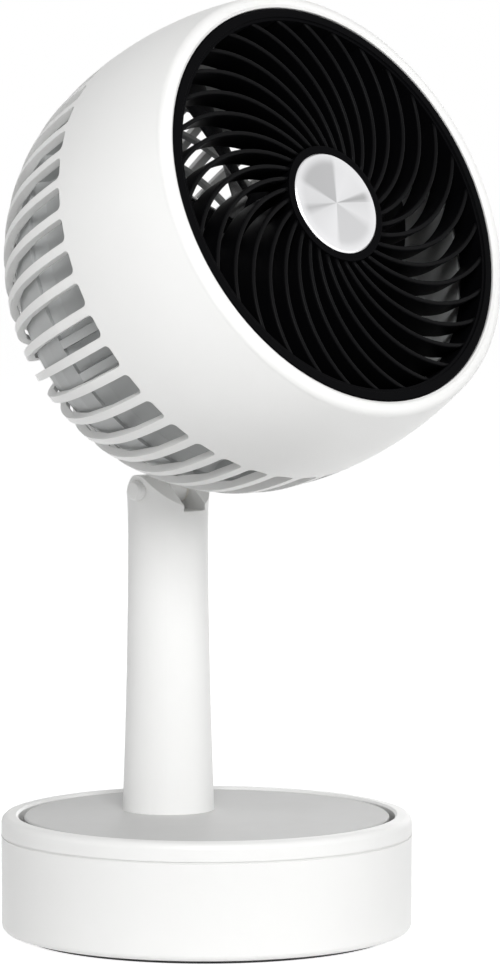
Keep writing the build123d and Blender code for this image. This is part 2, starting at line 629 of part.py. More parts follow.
# spindle_clip: open retaining ring in the spindle's groove, under the deck's sleeve
with BuildPart() as spindle_clip:
    with BuildSketch(Plane.XY.offset(CLIP_TOP - CLIP_THICKNESS)):
        Circle(CLIP_RADIUS)
        Circle(SPINDLE_RADIUS - CLIP_GROOVE + SCREW_FIT, mode=Mode.SUBTRACT)
        with Locations((0, -CLIP_RADIUS)):
            Rectangle(SPINDLE_RADIUS, CLIP_RADIUS, mode=Mode.SUBTRACT)
    extrude(amount=CLIP_THICKNESS)
spindle_clip.part.label = "spindle_clip"
export_step(spindle_clip.part, "parts/spindle_clip.step")

# ================================================================ post
# post: tapered hollow column with a flared foot; its top is a fork for the head's lug
with BuildPart() as post:
    with BuildSketch(Plane.XZ.offset(-POST_SETBACK)):
        with BuildLine():
            ThreePointArc((POST_FOOT_RADIUS, POST_BOTTOM), (POST_MIDDLE_RADIUS, POST_MIDDLE),
                          (POST_WAIST_RADIUS, POST_WAIST))
            TangentArc((POST_WAIST_RADIUS, POST_WAIST), (POST_TOP_RADIUS, POST_TOP), tangent=(0, 1))
            Polyline((POST_TOP_RADIUS, POST_TOP), (0, POST_TOP), (0, POST_BOTTOM),
                     (POST_FOOT_RADIUS, POST_BOTTOM))
        make_face()
    revolve(axis=Axis((0, POST_SETBACK, 0), (0, 0, 1)))
    # hollow inside, with a floor and a solid head
    with BuildSketch(Plane.XY.offset(POST_BOTTOM + POST_FLOOR)):
        with Locations((0, POST_SETBACK)):
            Circle(POST_BORE_RADIUS)
    extrude(amount=POST_TOP - POST_HEAD_LENGTH - POST_BOTTOM - POST_FLOOR, mode=Mode.SUBTRACT)
    with Locations((0, POST_SETBACK, POST_TOP)):
        Hole(CABLE_RADIUS)
    with BuildSketch(Plane.XY.offset(POST_BOTTOM)):
        with Locations((0, POST_SETBACK)):
            with PolarLocations(POST_SCREW_RING_RADIUS, 3, start_angle=90):
                Circle(SCREW_RADIUS + SCREW_FIT)
    extrude(amount=POST_FLOOR, mode=Mode.SUBTRACT)
    # the fork's top: a round nose about the hinge that falls away before and behind
    slope = radians(NOSE_SLOPE)
    nose_side = NOSE_RADIUS * sin(slope)
    nose_rise = NOSE_RADIUS * cos(slope)
    far_side = POST_TOP_RADIUS + 2 * CUT_MARGIN
    far_rise = nose_rise - (far_side - nose_side) * tan(slope)
    with BuildSketch(HINGE_SIDE):
        Rectangle(4 * far_side, 4 * far_side)
        with BuildLine():
            Polyline((-nose_side, nose_rise), (-far_side, far_rise), (-far_side, -3 * far_side),
                     (far_side, -3 * far_side), (far_side, far_rise), (nose_side, nose_rise))
            RadiusArc((nose_side, nose_rise), (-nose_side, nose_rise), -NOSE_RADIUS)
        make_face(mode=Mode.SUBTRACT)
    extrude(amount=far_side, both=True, mode=Mode.SUBTRACT)
    # slot between the ears
    with BuildSketch(Plane.XY.offset(HINGE_HEIGHT - FORK_DEPTH)):
        with Locations((0, POST_SETBACK)):
            Rectangle(FORK_GAP, 3 * POST_TOP_RADIUS)
    extrude(amount=FORK_DEPTH + NOSE_RADIUS, mode=Mode.SUBTRACT)
    # bore of the tilt pin and seats of its end caps
    with BuildSketch(HINGE_SIDE):
        Circle(PIN_RADIUS + PIN_FIT)
    extrude(amount=far_side, both=True, mode=Mode.SUBTRACT)
    for side in (-1, 1):
        with BuildSketch(HINGE_SIDE.offset(side * PIN_REACH)):
            Circle(CAP_RADIUS + PIN_FIT)
        extrude(amount=side * far_side, mode=Mode.SUBTRACT)
post.part.label = "post"
export_step(post.part, "parts/post.step")

# post_screws: three, from below through the plate into the post's floor
with BuildPart() as post_screws:
    with BuildSketch(Plane.XY.offset(PLATE_BOTTOM)):
        with Locations((0, POST_SETBACK)):
            with PolarLocations(POST_SCREW_RING_RADIUS, 3, start_angle=90):
                Circle(SCREW_HEAD_RADIUS)
    extrude(amount=-SCREW_HEAD)
    with BuildSketch(Plane.XY.offset(PLATE_BOTTOM)):
        with Locations((0, POST_SETBACK)):
            with PolarLocations(POST_SCREW_RING_RADIUS, 3, start_angle=90):
                Circle(SCREW_RADIUS)
    extrude(amount=PLATE_THICKNESS + POST_FLOOR)
post_screws.part.label = "post_screws"
export_step(post_screws.part, "parts/post_screws.step")

# tilt_pin: steel axle through both ears and the lug
with BuildPart() as tilt_pin:
    with BuildSketch(HINGE_SIDE):
        Circle(PIN_RADIUS)
    extrude(amount=PIN_REACH, both=True)
tilt_pin.part.label = "tilt_pin"
export_step(tilt_pin.part, "parts/tilt_pin.step")

# pivot_caps: round plugs over the ends of the pin, standing a little proud of the ears
with BuildPart() as pivot_caps:
    for side in (-1, 1):
        with BuildSketch(HINGE_SIDE.offset(side * PIN_REACH)):
            Circle(CAP_RADIUS)
        extrude(amount=side * (CAP_REACH - PIN_REACH))
    chamfer(pivot_caps.edges().group_by(Axis.X)[-1] + pivot_caps.edges().group_by(Axis.X)[0], CAP_CHAMFER)
pivot_caps.part.label = "pivot_caps"
export_step(pivot_caps.part, "parts/pivot_caps.step")

# tilt_washers: friction washers between the ears and the lug
with BuildPart() as tilt_washers:
    for side in (-1, 1):
        with BuildSketch(HINGE_SIDE.offset(side * FORK_GAP / 2)):
            Circle(TILT_WASHER_RADIUS)
            Circle(PIN_RADIUS + PIN_FIT, mode=Mode.SUBTRACT)
        extrude(amount=-side * TILT_WASHER)
tilt_washers.part.label = "tilt_washers"
export_step(tilt_washers.part, "parts/tilt_washers.step")


# ================================================================ head: outline of the shell
shoulder_angle = asin((SHOULDER_DEPTH - REAR_CENTRE_DEPTH) / REAR_RADIUS)
shoulder_radius = REAR_OFFSET + REAR_RADIUS * cos(shoulder_angle)
rise_to_lip = SHOULDER_DEPTH - LIP_BACK
step_to_lip = LIP_RADIUS - shoulder_radius
FRONT_RADIUS = (step_to_lip**2 + rise_to_lip**2) / (
    2 * (rise_to_lip * sin(shoulder_angle) - step_to_lip * cos(shoulder_angle)))
FRONT_OFFSET = shoulder_radius - FRONT_RADIUS * cos(shoulder_angle)
FRONT_CENTRE_DEPTH = SHOULDER_DEPTH - FRONT_RADIUS * sin(shoulder_angle)
REAR_DEPTH = REAR_CENTRE_DEPTH + sqrt(REAR_RADIUS**2 - (REAR_FLAT_RADIUS - REAR_OFFSET)**2)
REAR_INNER_DEPTH = REAR_DEPTH - SHELL_WALL
GRILLE_RADIUS = MOUTH_RADIUS - GRILLE_FIT
FLANGE_SEAT = SHELL_CLEARANCE + PAD_DEPTH


def shell_point(depth, inset):
    """Section point of the shell at a depth behind the face, inset from its outer skin."""
    if depth < SHOULDER_DEPTH:
        return (FRONT_OFFSET + sqrt((FRONT_RADIUS - inset)**2 - (depth - FRONT_CENTRE_DEPTH)**2), -depth)
    return (REAR_OFFSET + sqrt((REAR_RADIUS - inset)**2 - (depth - REAR_CENTRE_DEPTH)**2), -depth)


def shell_arc(start_depth, end_depth, inset):
    """Arc of the shell's section between two depths on the same side of the shoulder."""
    middle_depth = (start_depth + end_depth) / 2
    ThreePointArc(shell_point(start_depth, inset), shell_point(middle_depth, inset),
                  shell_point(end_depth, inset))


# ================================================================ head: shell
# slot_cutter: one intake slot as a wedge about the face's axis, its front corners rounded
SLOT_OUTSIDE = REAR_RADIUS + 15 * CUT_MARGIN
SLOT_BEHIND = REAR_DEPTH + 10 * CUT_MARGIN
with BuildPart() as slot_cutter:
    with BuildSketch(Plane.XZ):
        Polygon((SLOT_REAR_RADIUS + SLOT_CUT_WIDTH, -SLOT_FRONT_DEPTH), (SLOT_OUTSIDE, -SLOT_FRONT_DEPTH),
                (SLOT_OUTSIDE, -SLOT_BEHIND), (SLOT_REAR_RADIUS, -SLOT_BEHIND),
                (SLOT_REAR_RADIUS, SLOT_CUT_DEPTH - REAR_DEPTH), align=None)
    revolve(axis=Axis.Z, revolution_arc=SLOT_ANGLE)
    front_corners = slot_cutter.edges().filter_by(GeomType.LINE).group_by(Axis.Z)[-1]
    fillet(front_corners, SLOT_ROUND)

# lug_pad: solid seat inside the shell over the tilt hinge, cut to the shell's outer form
pad_inset = SHELL_WALL / 4
with BuildPart() as lug_pad:
    with BuildSketch(SECTION):
        with BuildLine():
            shell_arc(LIP_BACK, SHOULDER_DEPTH, pad_inset)
            shell_arc(SHOULDER_DEPTH, REAR_DEPTH, pad_inset)
            Polyline(shell_point(REAR_DEPTH, pad_inset), (0, -REAR_DEPTH), (0, -LIP_BACK),
                     shell_point(LIP_BACK, pad_inset))
        make_face()
    revolve(axis=FACE_AXIS)
    with BuildSketch(LUG):
        RectangleRounded(PAD_SIZE[0], PAD_SIZE[1], PAD_ROUND)
    extrude(amount=FLANGE_SEAT, mode=Mode.INTERSECT)

# head_shell: the white housing from the rounded lip back to the flat behind the motor
COLLAR_OUTER = MOUTH_RADIUS + COLLAR_WALL
LIP_MIDDLE = ((MOUTH_RADIUS + LIP_RADIUS) / 2 + LIP_CORNER[0], LIP_PROUD - LIP_CORNER[1])
inner_depths = [SHOULDER_DEPTH + (REAR_INNER_DEPTH - SHOULDER_DEPTH) * sin(pi / 2 * step / SHELL_REAR_STEPS)
                for step in range(SHELL_REAR_STEPS, 0, -1)]
inner_depths += [SHOULDER_DEPTH + (LIP_POCKET - SHOULDER_DEPTH) * step / SHELL_FRONT_STEPS
                 for step in range(SHELL_FRONT_STEPS + 1)]
with BuildPart() as head_shell:
    with BuildSketch(SECTION):
        with BuildLine():
            Line((MOUTH_RADIUS, 0), (MOUTH_RADIUS + LIP_CREST, LIP_PROUD))
            ThreePointArc((MOUTH_RADIUS + LIP_CREST, LIP_PROUD), LIP_MIDDLE, shell_point(LIP_BACK, 0))
            shell_arc(LIP_BACK, SHOULDER_DEPTH, 0)
            shell_arc(SHOULDER_DEPTH, REAR_DEPTH, 0)
            Polyline(shell_point(REAR_DEPTH, 0), (0, -REAR_DEPTH), (0, -REAR_INNER_DEPTH),
                     *[shell_point(depth, SHELL_WALL) for depth in inner_depths],
                     (COLLAR_OUTER, -LIP_POCKET), (COLLAR_OUTER, -COLLAR_DEPTH),
                     (MOUTH_RADIUS, -COLLAR_DEPTH), (MOUTH_RADIUS, 0))
        make_face()
    revolve(axis=FACE_AXIS)
    # intake slots, with one centred on the lowest line
    with Locations(FACE.location):
        with PolarLocations(0, SLOT_COUNT, start_angle=-90 - SLOT_ANGLE / 2):
            add(slot_cutter.part, mode=Mode.SUBTRACT)
    # bosses for the duct's screws, between the collar and the outer wall
    with BuildSketch(FACE.offset(-COLLAR_DEPTH)):
        with PolarLocations(DUCT_SCREW_RING_RADIUS, DUCT_SCREW_COUNT, start_angle=45):
            Circle(DUCT_BOSS_RADIUS)
    extrude(amount=COLLAR_DEPTH - LIP_POCKET + DUCT_BOSS_OVERLAP)
    with BuildSketch(FACE.offset(-COLLAR_DEPTH)):
        with PolarLocations(DUCT_SCREW_RING_RADIUS, DUCT_SCREW_COUNT, start_angle=45):
            Circle(SMALL_SCREW_RADIUS + SCREW_FIT)
    extrude(amount=DUCT_SCREW_BITE + 2 * CUT_MARGIN, mode=Mode.SUBTRACT)
    # holes of the motor mount's screws
    with BuildSketch(FACE.offset(-REAR_DEPTH)):
        with PolarLocations(MOUNT_SCREW_RING_RADIUS, 4, start_angle=45):
            Circle(SCREW_RADIUS + SCREW_FIT)
    extrude(amount=SHELL_WALL, mode=Mode.SUBTRACT)
    # the pad for the lug, with the lug's slot and the holes of its screws
    add(lug_pad.part)
    with BuildSketch(LUG):
        Rectangle(LUG_WIDTH + 2 * FIT_GAP, LUG_THICKNESS + 2 * FIT_GAP)
    extrude(amount=FLANGE_SEAT, mode=Mode.SUBTRACT)
    with BuildSketch(LUG.offset(FLANGE_SEAT)):
        with GridLocations(FLANGE_SCREW_PITCH[0], FLANGE_SCREW_PITCH[1], 2, 2):
            Circle(SCREW_RADIUS + SCREW_FIT)
    extrude(amount=PAD_SKIN - PAD_DEPTH, mode=Mode.SUBTRACT)
head_shell.part.label = "head_shell"
export_step(head_shell.part, "parts/head_shell.step")

# tilt_lug: knuckle on the pin, arm through the shell and flange screwed to the pad
with BuildPart() as tilt_lug:
    with BuildSketch(HINGE_SIDE):
        Circle(LUG_RADIUS)
    extrude(amount=LUG_WIDTH / 2, both=True)
    with BuildSketch(LUG):
        Rectangle(LUG_WIDTH, LUG_THICKNESS)
    extrude(amount=FLANGE_SEAT + FLANGE_SIZE[2])
    with BuildSketch(LUG.offset(FLANGE_SEAT)):
        RectangleRounded(FLANGE_SIZE[0], FLANGE_SIZE[1], PAD_ROUND)
        with GridLocations(FLANGE_SCREW_PITCH[0], FLANGE_SCREW_PITCH[1], 2, 2):
            Circle(SCREW_RADIUS + SCREW_FIT, mode=Mode.SUBTRACT)
    extrude(amount=FLANGE_SIZE[2])
    with BuildSketch(HINGE_SIDE):
        Circle(PIN_RADIUS + RUNNING_FIT)
    extrude(amount=LUG_WIDTH, both=True, mode=Mode.SUBTRACT)
tilt_lug.part.label = "tilt_lug"
export_step(tilt_lug.part, "parts/tilt_lug.step")

# lug_screws: four, from inside the head through the flange into the pad
with BuildPart() as lug_screws:
    with BuildSketch(LUG.offset(FLANGE_SEAT + FLANGE_SIZE[2])):
        with GridLocations(FLANGE_SCREW_PITCH[0], FLANGE_SCREW_PITCH[1], 2, 2):
            Circle(SCREW_HEAD_RADIUS)
    extrude(amount=SCREW_HEAD)
    with BuildSketch(LUG.offset(FLANGE_SEAT + FLANGE_SIZE[2])):
        with GridLocations(FLANGE_SCREW_PITCH[0], FLANGE_SCREW_PITCH[1], 2, 2):
            Circle(SCREW_RADIUS)
    extrude(amount=PAD_SKIN + 2 * FIT_GAP - PAD_DEPTH - FLANGE_SIZE[2])
lug_screws.part.label = "lug_screws"
export_step(lug_screws.part, "parts/lug_screws.step")

# rear_cap: round cover with pockets for the heads of the screws behind the motor
with BuildPart() as rear_cap:
    with BuildSketch(FACE.offset(-REAR_DEPTH)):
        Circle(REAR_CAP_RADIUS)
    extrude(amount=-REAR_CAP_THICKNESS)
    chamfer(rear_cap.edges().sort_by(FACE_AXIS)[:1], REAR_CAP_CHAMFER)
    with BuildSketch(FACE.offset(-REAR_DEPTH)):
        with PolarLocations(MOUNT_SCREW_RING_RADIUS, 4, start_angle=45):
            Circle(SCREW_HEAD_RADIUS + FIT_GAP)
    extrude(amount=-SMALL_SCREW_HEAD - FIT_GAP, mode=Mode.SUBTRACT)
rear_cap.part.label = "rear_cap"
export_step(rear_cap.part, "parts/rear_cap.step")

# ================================================================ head: air path
# air_duct: ring round the impeller with a flange at the front, a flared mouth at the back
# and pairs of stiffening bars outside, which show through the intake slots
DUCT_OUTER = DUCT_BORE + DUCT_WALL
DUCT_FRONT = -COLLAR_DEPTH
DUCT_REAR = DUCT_FRONT - DUCT_LENGTH
DUCT_BELL = DUCT_REAR + BELL_FLARE
with BuildPart() as air_duct:
    with BuildSketch(SECTION):
        Polygon((DUCT_BORE, DUCT_BELL), (DUCT_BORE, DUCT_FRONT), (DUCT_FLANGE_RADIUS, DUCT_FRONT),
                (DUCT_FLANGE_RADIUS, DUCT_FRONT - DUCT_FLANGE), (DUCT_OUTER, DUCT_FRONT - DUCT_FLANGE),
                (DUCT_OUTER, DUCT_BELL), (DUCT_OUTER + BELL_FLARE / 2, DUCT_REAR),
                (DUCT_BORE + BELL_FLARE / 2, DUCT_REAR), align=None)
    revolve(axis=FACE_AXIS)
    for spread in (-BAR_SPREAD, BAR_SPREAD):
        with BuildSketch(FACE.offset(-BAR_FRONT_DEPTH)):
            with PolarLocations((DUCT_OUTER + BAR_TIP_RADIUS) / 2 - DUCT_WALL / 4, BAR_GROUPS,
                                start_angle=BAR_PHASE + spread):
                Rectangle(BAR_TIP_RADIUS - DUCT_OUTER + DUCT_WALL / 2, BAR_SIZE[0])
        extrude(amount=-BAR_SIZE[1])
    with BuildSketch(FACE.offset(DUCT_FRONT)):
        with PolarLocations(DUCT_SCREW_RING_RADIUS, DUCT_SCREW_COUNT, start_angle=45):
            Circle(SMALL_SCREW_RADIUS + SCREW_FIT)
    extrude(amount=-DUCT_FLANGE, mode=Mode.SUBTRACT)
air_duct.part.label = "air_duct"
export_step(air_duct.part, "parts/air_duct.step")

# louvre_cutter: rows of openings one behind the other, as wedges about the face's axis
with BuildPart() as louvre_cutter:
    with BuildSketch(Plane.XZ):
        with Locations((MOUTH_RADIUS, DUCT_REAR - LOUVRE_INSET - LOUVRE_ROWS * LOUVRE_PITCH / 2)):
            with GridLocations(0, LOUVRE_PITCH, 1, LOUVRE_ROWS):
                Rectangle(MOUTH_RADIUS, LOUVRE_OPENING)
    revolve(axis=Axis.Z, revolution_arc=LOUVRE_ARC)

# intake_liner: bowl close behind the slots that snaps onto the back of the duct; louvres on both
# sides and its open back let the air in, and a notch in it clears the seat of the lug
LINER_REAR_DEPTH = REAR_DEPTH - LINER_REAR_INSET
LINER_OUTSIDE = SHELL_WALL + LINER_GAP
LINER_INSIDE = LINER_OUTSIDE + LINER_WALL
LINER_LIP_RADIUS = DUCT_BORE + BELL_FLARE / 2
liner_depths = [-DUCT_REAR + (LINER_REAR_DEPTH + DUCT_REAR) * step / LINER_STEPS
                for step in range(LINER_STEPS + 1)]
with BuildPart() as intake_liner:
    with BuildSketch(SECTION):
        with BuildLine():
            Polyline((LINER_LIP_RADIUS, DUCT_REAR),
                     *[shell_point(depth, LINER_OUTSIDE) for depth in liner_depths],
                     *[shell_point(depth, LINER_INSIDE) for depth in reversed(liner_depths[1:])],
                     shell_point(LINER_LIP - DUCT_REAR, LINER_INSIDE),
                     (LINER_LIP_RADIUS, DUCT_REAR - LINER_LIP), close=True)
        make_face()
    revolve(axis=FACE_AXIS)
    with Locations(FACE.location):
        for start in (LOUVRE_START, 180 - LOUVRE_START - LOUVRE_ARC):
            with PolarLocations(0, 1, start_angle=start):
                add(louvre_cutter.part, mode=Mode.SUBTRACT)
    with BuildSketch(LUG):
        Rectangle(PAD_SIZE[0] + 2 * LINER_GAP, PAD_SIZE[1] + 2 * LINER_GAP)
    extrude(amount=2 * FLANGE_SEAT, mode=Mode.SUBTRACT)
intake_liner.part.label = "intake_liner"
export_step(intake_liner.part, "parts/intake_liner.step")

# duct_screws: four, from behind through the flange into the shell's bosses
with BuildPart() as duct_screws:
    with BuildSketch(FACE.offset(DUCT_FRONT - DUCT_FLANGE)):
        with PolarLocations(DUCT_SCREW_RING_RADIUS, DUCT_SCREW_COUNT, start_angle=45):
            Circle(DUCT_SCREW_HEAD_RADIUS)
    extrude(amount=-SMALL_SCREW_HEAD)
    with BuildSketch(FACE.offset(DUCT_FRONT - DUCT_FLANGE)):
        with PolarLocations(DUCT_SCREW_RING_RADIUS, DUCT_SCREW_COUNT, start_angle=45):
            Circle(SMALL_SCREW_RADIUS)
    extrude(amount=DUCT_FLANGE + DUCT_SCREW_BITE)
duct_screws.part.label = "duct_screws"
export_step(duct_screws.part, "parts/duct_screws.step")

# front_grille: spiral vanes between a cupped hub and a stepped bezel with a skirt
VANE_START = HUB_RADIUS - VANE_BITE
VANE_END = BEZEL_BORE + VANE_BITE
sweep_rate = VANE_SWEEP / (BEZEL_BORE - HUB_RADIUS)


def vane_point(radius, side):
    """Point on one flank of a vane; the vane turns evenly with the radius."""
    turn = radians(sweep_rate * (radius - HUB_RADIUS))
    lead = radians(sweep_rate) * radius
    half_width = side * VANE_THICKNESS / 2 * hypot(1, lead) / radius
    return (radius * cos(turn + half_width), radius * sin(turn + half_width))


with BuildSketch() as vane_outline:
    vane_middle = (VANE_START + VANE_END) / 2
    with BuildLine():
        ThreePointArc(vane_point(VANE_START, -1), vane_point(vane_middle, -1), vane_point(VANE_END, -1))
        Line(vane_point(VANE_END, -1), vane_point(VANE_END, 1))
        ThreePointArc(vane_point(VANE_END, 1), vane_point(vane_middle, 1), vane_point(VANE_START, 1))
        Line(vane_point(VANE_START, 1), vane_point(VANE_START, -1))
    make_face()

with BuildPart() as front_grille:
    with BuildSketch(FACE.offset(-VANE_REAR)):
        with PolarLocations(0, VANE_COUNT):
            add(vane_outline.sketch)
    extrude(amount=VANE_REAR - VANE_FRONT)
    with BuildSketch(SECTION):
        Polygon((BEZEL_BORE, -BEZEL_STEP), (BEZEL_STEP_RADIUS, -BEZEL_STEP), (BEZEL_STEP_RADIUS, 0),
                (GRILLE_RADIUS - BEZEL_STEP, 0), (GRILLE_RADIUS, -BEZEL_STEP),
                (GRILLE_RADIUS, -COLLAR_DEPTH), (GRILLE_RADIUS - GRILLE_SKIRT_WALL, -COLLAR_DEPTH),
                (GRILLE_RADIUS - GRILLE_SKIRT_WALL, -BEZEL_LAND),
                (BEZEL_BORE + GRILLE_SKIRT_WALL, -BEZEL_LAND),
                (BEZEL_BORE + GRILLE_SKIRT_WALL, -GRILLE_SLEEVE_DEPTH),
                (BEZEL_BORE, -GRILLE_SLEEVE_DEPTH), align=None)
        Polygon((0, -HUB_FRONT - DISC_THICKNESS), (DISC_RADIUS + DISC_FIT, -HUB_FRONT - DISC_THICKNESS),
                (DISC_RADIUS + DISC_FIT, -HUB_FRONT), (HUB_RADIUS, -HUB_FRONT),
                (HUB_RADIUS, -VANE_REAR), (HUB_RADIUS - HUB_WALL, -VANE_REAR),
                (HUB_RADIUS - HUB_WALL, -HUB_FRONT - DISC_THICKNESS - HUB_WALL),
                (0, -HUB_FRONT - DISC_THICKNESS - HUB_WALL), align=None)
    revolve(axis=FACE_AXIS)
front_grille.part.label = "front_grille"
export_step(front_grille.part, "parts/front_grille.step")

# center_disc: turned metal disc in the hub of the grille
with BuildPart() as center_disc:
    with BuildSketch(FACE.offset(-HUB_FRONT - DISC_THICKNESS)):
        Circle(DISC_RADIUS)
    extrude(amount=DISC_THICKNESS + HUB_FRONT)
    chamfer(center_disc.edges().sort_by(FACE_AXIS)[-1:], DISC_CHAMFER)
center_disc.part.label = "center_disc"
export_step(center_disc.part, "parts/center_disc.step")

# ================================================================ head: motor
# motor_mount: hollow stalk from the back of the shell, ending in the bearing tube
MOUNT_FOOT = -REAR_INNER_DEPTH + MOUNT_FLANGE
TUBE_FRONT = -BEARING_FRONT_DEPTH + TUBE_STEP
with BuildPart() as motor_mount:
    with BuildSketch(SECTION):
        Polygon((MOUNT_FLANGE_RADIUS, -REAR_INNER_DEPTH), (MOUNT_FLANGE_RADIUS, MOUNT_FOOT),
                (MOUNT_NECK_RADIUS, MOUNT_FOOT), (MOUNT_NECK_RADIUS, -MOUNT_NECK_DEPTH),
                (TUBE_RADIUS, -MOUNT_NECK_DEPTH), (TUBE_RADIUS, TUBE_FRONT), (BEARING_RADIUS, TUBE_FRONT),
                (BEARING_RADIUS, -MOUNT_NECK_DEPTH - MOUNT_WALL),
                (MOUNT_NECK_RADIUS - MOUNT_WALL, -MOUNT_NECK_DEPTH - MOUNT_WALL),
                (MOUNT_NECK_RADIUS - MOUNT_WALL, -REAR_INNER_DEPTH), align=None)
    revolve(axis=FACE_AXIS)
    with BuildSketch(FACE.offset(-REAR_INNER_DEPTH)):
        with PolarLocations(MOUNT_SCREW_RING_RADIUS, 4, start_angle=45):
            Circle(SCREW_RADIUS + SCREW_FIT)
    extrude(amount=MOUNT_FLANGE, mode=Mode.SUBTRACT)
motor_mount.part.label = "motor_mount"
export_step(motor_mount.part, "parts/motor_mount.step")

# mount_screws: four, from behind through the shell into the mount's flange
with BuildPart() as mount_screws:
    with BuildSketch(FACE.offset(-REAR_DEPTH)):
        with PolarLocations(MOUNT_SCREW_RING_RADIUS, 4, start_angle=45):
            Circle(SCREW_HEAD_RADIUS)
    extrude(amount=-SMALL_SCREW_HEAD)
    with BuildSketch(FACE.offset(-REAR_DEPTH)):
        with PolarLocations(MOUNT_SCREW_RING_RADIUS, 4, start_angle=45):
            Circle(SCREW_RADIUS)
    extrude(amount=SHELL_WALL + MOUNT_FLANGE)
mount_screws.part.label = "mount_screws"
export_step(mount_screws.part, "parts/mount_screws.step")

# motor_bearings: two rings in the bearing tube
with BuildPart() as motor_bearings:
    for depth in (BEARING_FRONT_DEPTH, BEARING_REAR_DEPTH):
        with BuildSketch(FACE.offset(-depth)):
            Circle(BEARING_RADIUS - SCREW_FIT / 2)
            Circle(SHAFT_RADIUS + SHAFT_FIT, mode=Mode.SUBTRACT)
        extrude(amount=-BEARING_WIDTH)
motor_bearings.part.label = "motor_bearings"
export_step(motor_bearings.part, "parts/motor_bearings.step")

# motor_stator: toothed core round the bearing tube
STATOR_FRONT = -BEARING_FRONT_DEPTH - STATOR_SETBACK
with BuildPart() as motor_stator:
    with BuildSketch(FACE.offset(STATOR_FRONT)):
        Circle(STATOR_RADIUS)
        Circle(TUBE_RADIUS + SCREW_FIT, mode=Mode.SUBTRACT)
        with PolarLocations((STATOR_RADIUS + TUBE_RADIUS) / 2, STATOR_TEETH):
            Circle(STATOR_SLOT_RADIUS, mode=Mode.SUBTRACT)
        with PolarLocations(STATOR_RADIUS, STATOR_TEETH):
            Rectangle(2 * STATOR_SLOT_RADIUS, STATOR_SLOT_RADIUS, mode=Mode.SUBTRACT)
    extrude(amount=-STATOR_LENGTH)
motor_stator.part.label = "motor_stator"
export_step(motor_stator.part, "parts/motor_stator.step")

# ================================================================ rotor
MAGNET_INNER = STATOR_RADIUS + AIR_GAP
CAN_INNER = MAGNET_INNER + MAGNET_WALL
CAN_OUTER = CAN_INNER + CAN_WALL
CAN_REAR = -CAN_FRONT_DEPTH - CAN_LENGTH
HUB_BORE = CAN_OUTER + SCREW_FIT
HUB_OUTER = HUB_BORE + HUB_WALL
SHAFT_SEAT = SHAFT_RADIUS + SHAFT_FIT

# rotor_shaft
with BuildPart() as rotor_shaft:
    with BuildSketch(FACE.offset(-SHAFT_REAR_DEPTH)):
        Circle(SHAFT_RADIUS)
    extrude(amount=SHAFT_REAR_DEPTH - SHAFT_FRONT_DEPTH)
rotor_shaft.part.label = "rotor_shaft"
export_step(rotor_shaft.part, "parts/rotor_shaft.step")

# rotor_can: steel cup that holds the magnet
with BuildPart() as rotor_can:
    with BuildSketch(SECTION):
        Polygon((SHAFT_SEAT, -CAN_FRONT_DEPTH), (CAN_OUTER, -CAN_FRONT_DEPTH), (CAN_OUTER, CAN_REAR),
                (CAN_INNER, CAN_REAR), (CAN_INNER, -CAN_FRONT_DEPTH - CAN_WALL),
                (SHAFT_SEAT, -CAN_FRONT_DEPTH - CAN_WALL), align=None)
    revolve(axis=FACE_AXIS)
rotor_can.part.label = "rotor_can"
export_step(rotor_can.part, "parts/rotor_can.step")

# rotor_magnet
with BuildPart() as rotor_magnet:
    with BuildSketch(FACE.offset(CAN_REAR + MAGNET_INSET)):
        Circle(CAN_INNER - FIT_GAP / 4)
        Circle(MAGNET_INNER, mode=Mode.SUBTRACT)
    extrude(amount=MAGNET_LENGTH)
rotor_magnet.part.label = "rotor_magnet"
export_step(rotor_magnet.part, "parts/rotor_magnet.step")


def blade_section(radius, chord, angle):
    """Thin cambered section of a blade, square to the radius that points along X."""
    side = Plane(origin=FACE_CENTRE + Vector(radius, 0, 0) - FORWARD * BLADE_MIDDLE_DEPTH,
                 x_dir=UPWARD, z_dir=(1, 0, 0))
    with BuildSketch(side) as section:
        with BuildLine():
            ends = [Vector(end * chord / 2, 0).rotate(Axis.Z, angle) for end in (-1, 1)]
            crowns = [Vector(0, chord * BLADE_CAMBER + face * BLADE_THICKNESS / 2).rotate(Axis.Z, angle)
                      for face in (-1, 1)]
            ThreePointArc(ends[0], crowns[0], ends[1])
            ThreePointArc(ends[1], crowns[1], ends[0])
        make_face()
    return section.sketch.face()


# impeller: hub over the rotor can with swept blades that end at a cylinder
with BuildPart() as blade:
    loft([blade_section(HUB_OUTER - BLADE_ROOT_SINK, BLADE_ROOT_CHORD, BLADE_ROOT_ANGLE),
          blade_section(BLADE_TIP_RADIUS + BLADE_TIP_EXTRA, BLADE_TIP_CHORD, BLADE_TIP_ANGLE)])
with BuildPart() as impeller:
    for number in range(BLADE_COUNT):
        add(blade.part.rotate(FACE_AXIS, 360 / BLADE_COUNT * number))
    with BuildSketch(FACE.offset(-BLADE_MIDDLE_DEPTH - BLADE_ROOT_CHORD / 2)):
        Circle(BLADE_TIP_RADIUS)
        Circle(HUB_BORE + HUB_WALL / 2, mode=Mode.SUBTRACT)
    extrude(amount=BLADE_ROOT_CHORD, mode=Mode.INTERSECT)
    with BuildSketch(SECTION):
        hub_front = -IMPELLER_FRONT_DEPTH
        hub_inside = hub_front - HUB_WALL
        boss_radius = SHAFT_SEAT + 2 * HUB_WALL
        Polygon((HUB_OUTER, hub_front - HUB_CHAMFER), (HUB_OUTER, CAN_REAR), (HUB_BORE, CAN_REAR),
                (HUB_BORE, hub_front - HUB_CHAMFER), (HUB_BORE - HUB_CHAMFER, hub_inside),
                (boss_radius, hub_inside), (boss_radius, -CAN_FRONT_DEPTH + FIT_GAP / 4),
                (SHAFT_SEAT, -CAN_FRONT_DEPTH + FIT_GAP / 4), (SHAFT_SEAT, hub_front),
                (HUB_OUTER - HUB_CHAMFER, hub_front), align=None)
    revolve(axis=FACE_AXIS)
impeller.part.label = "impeller"
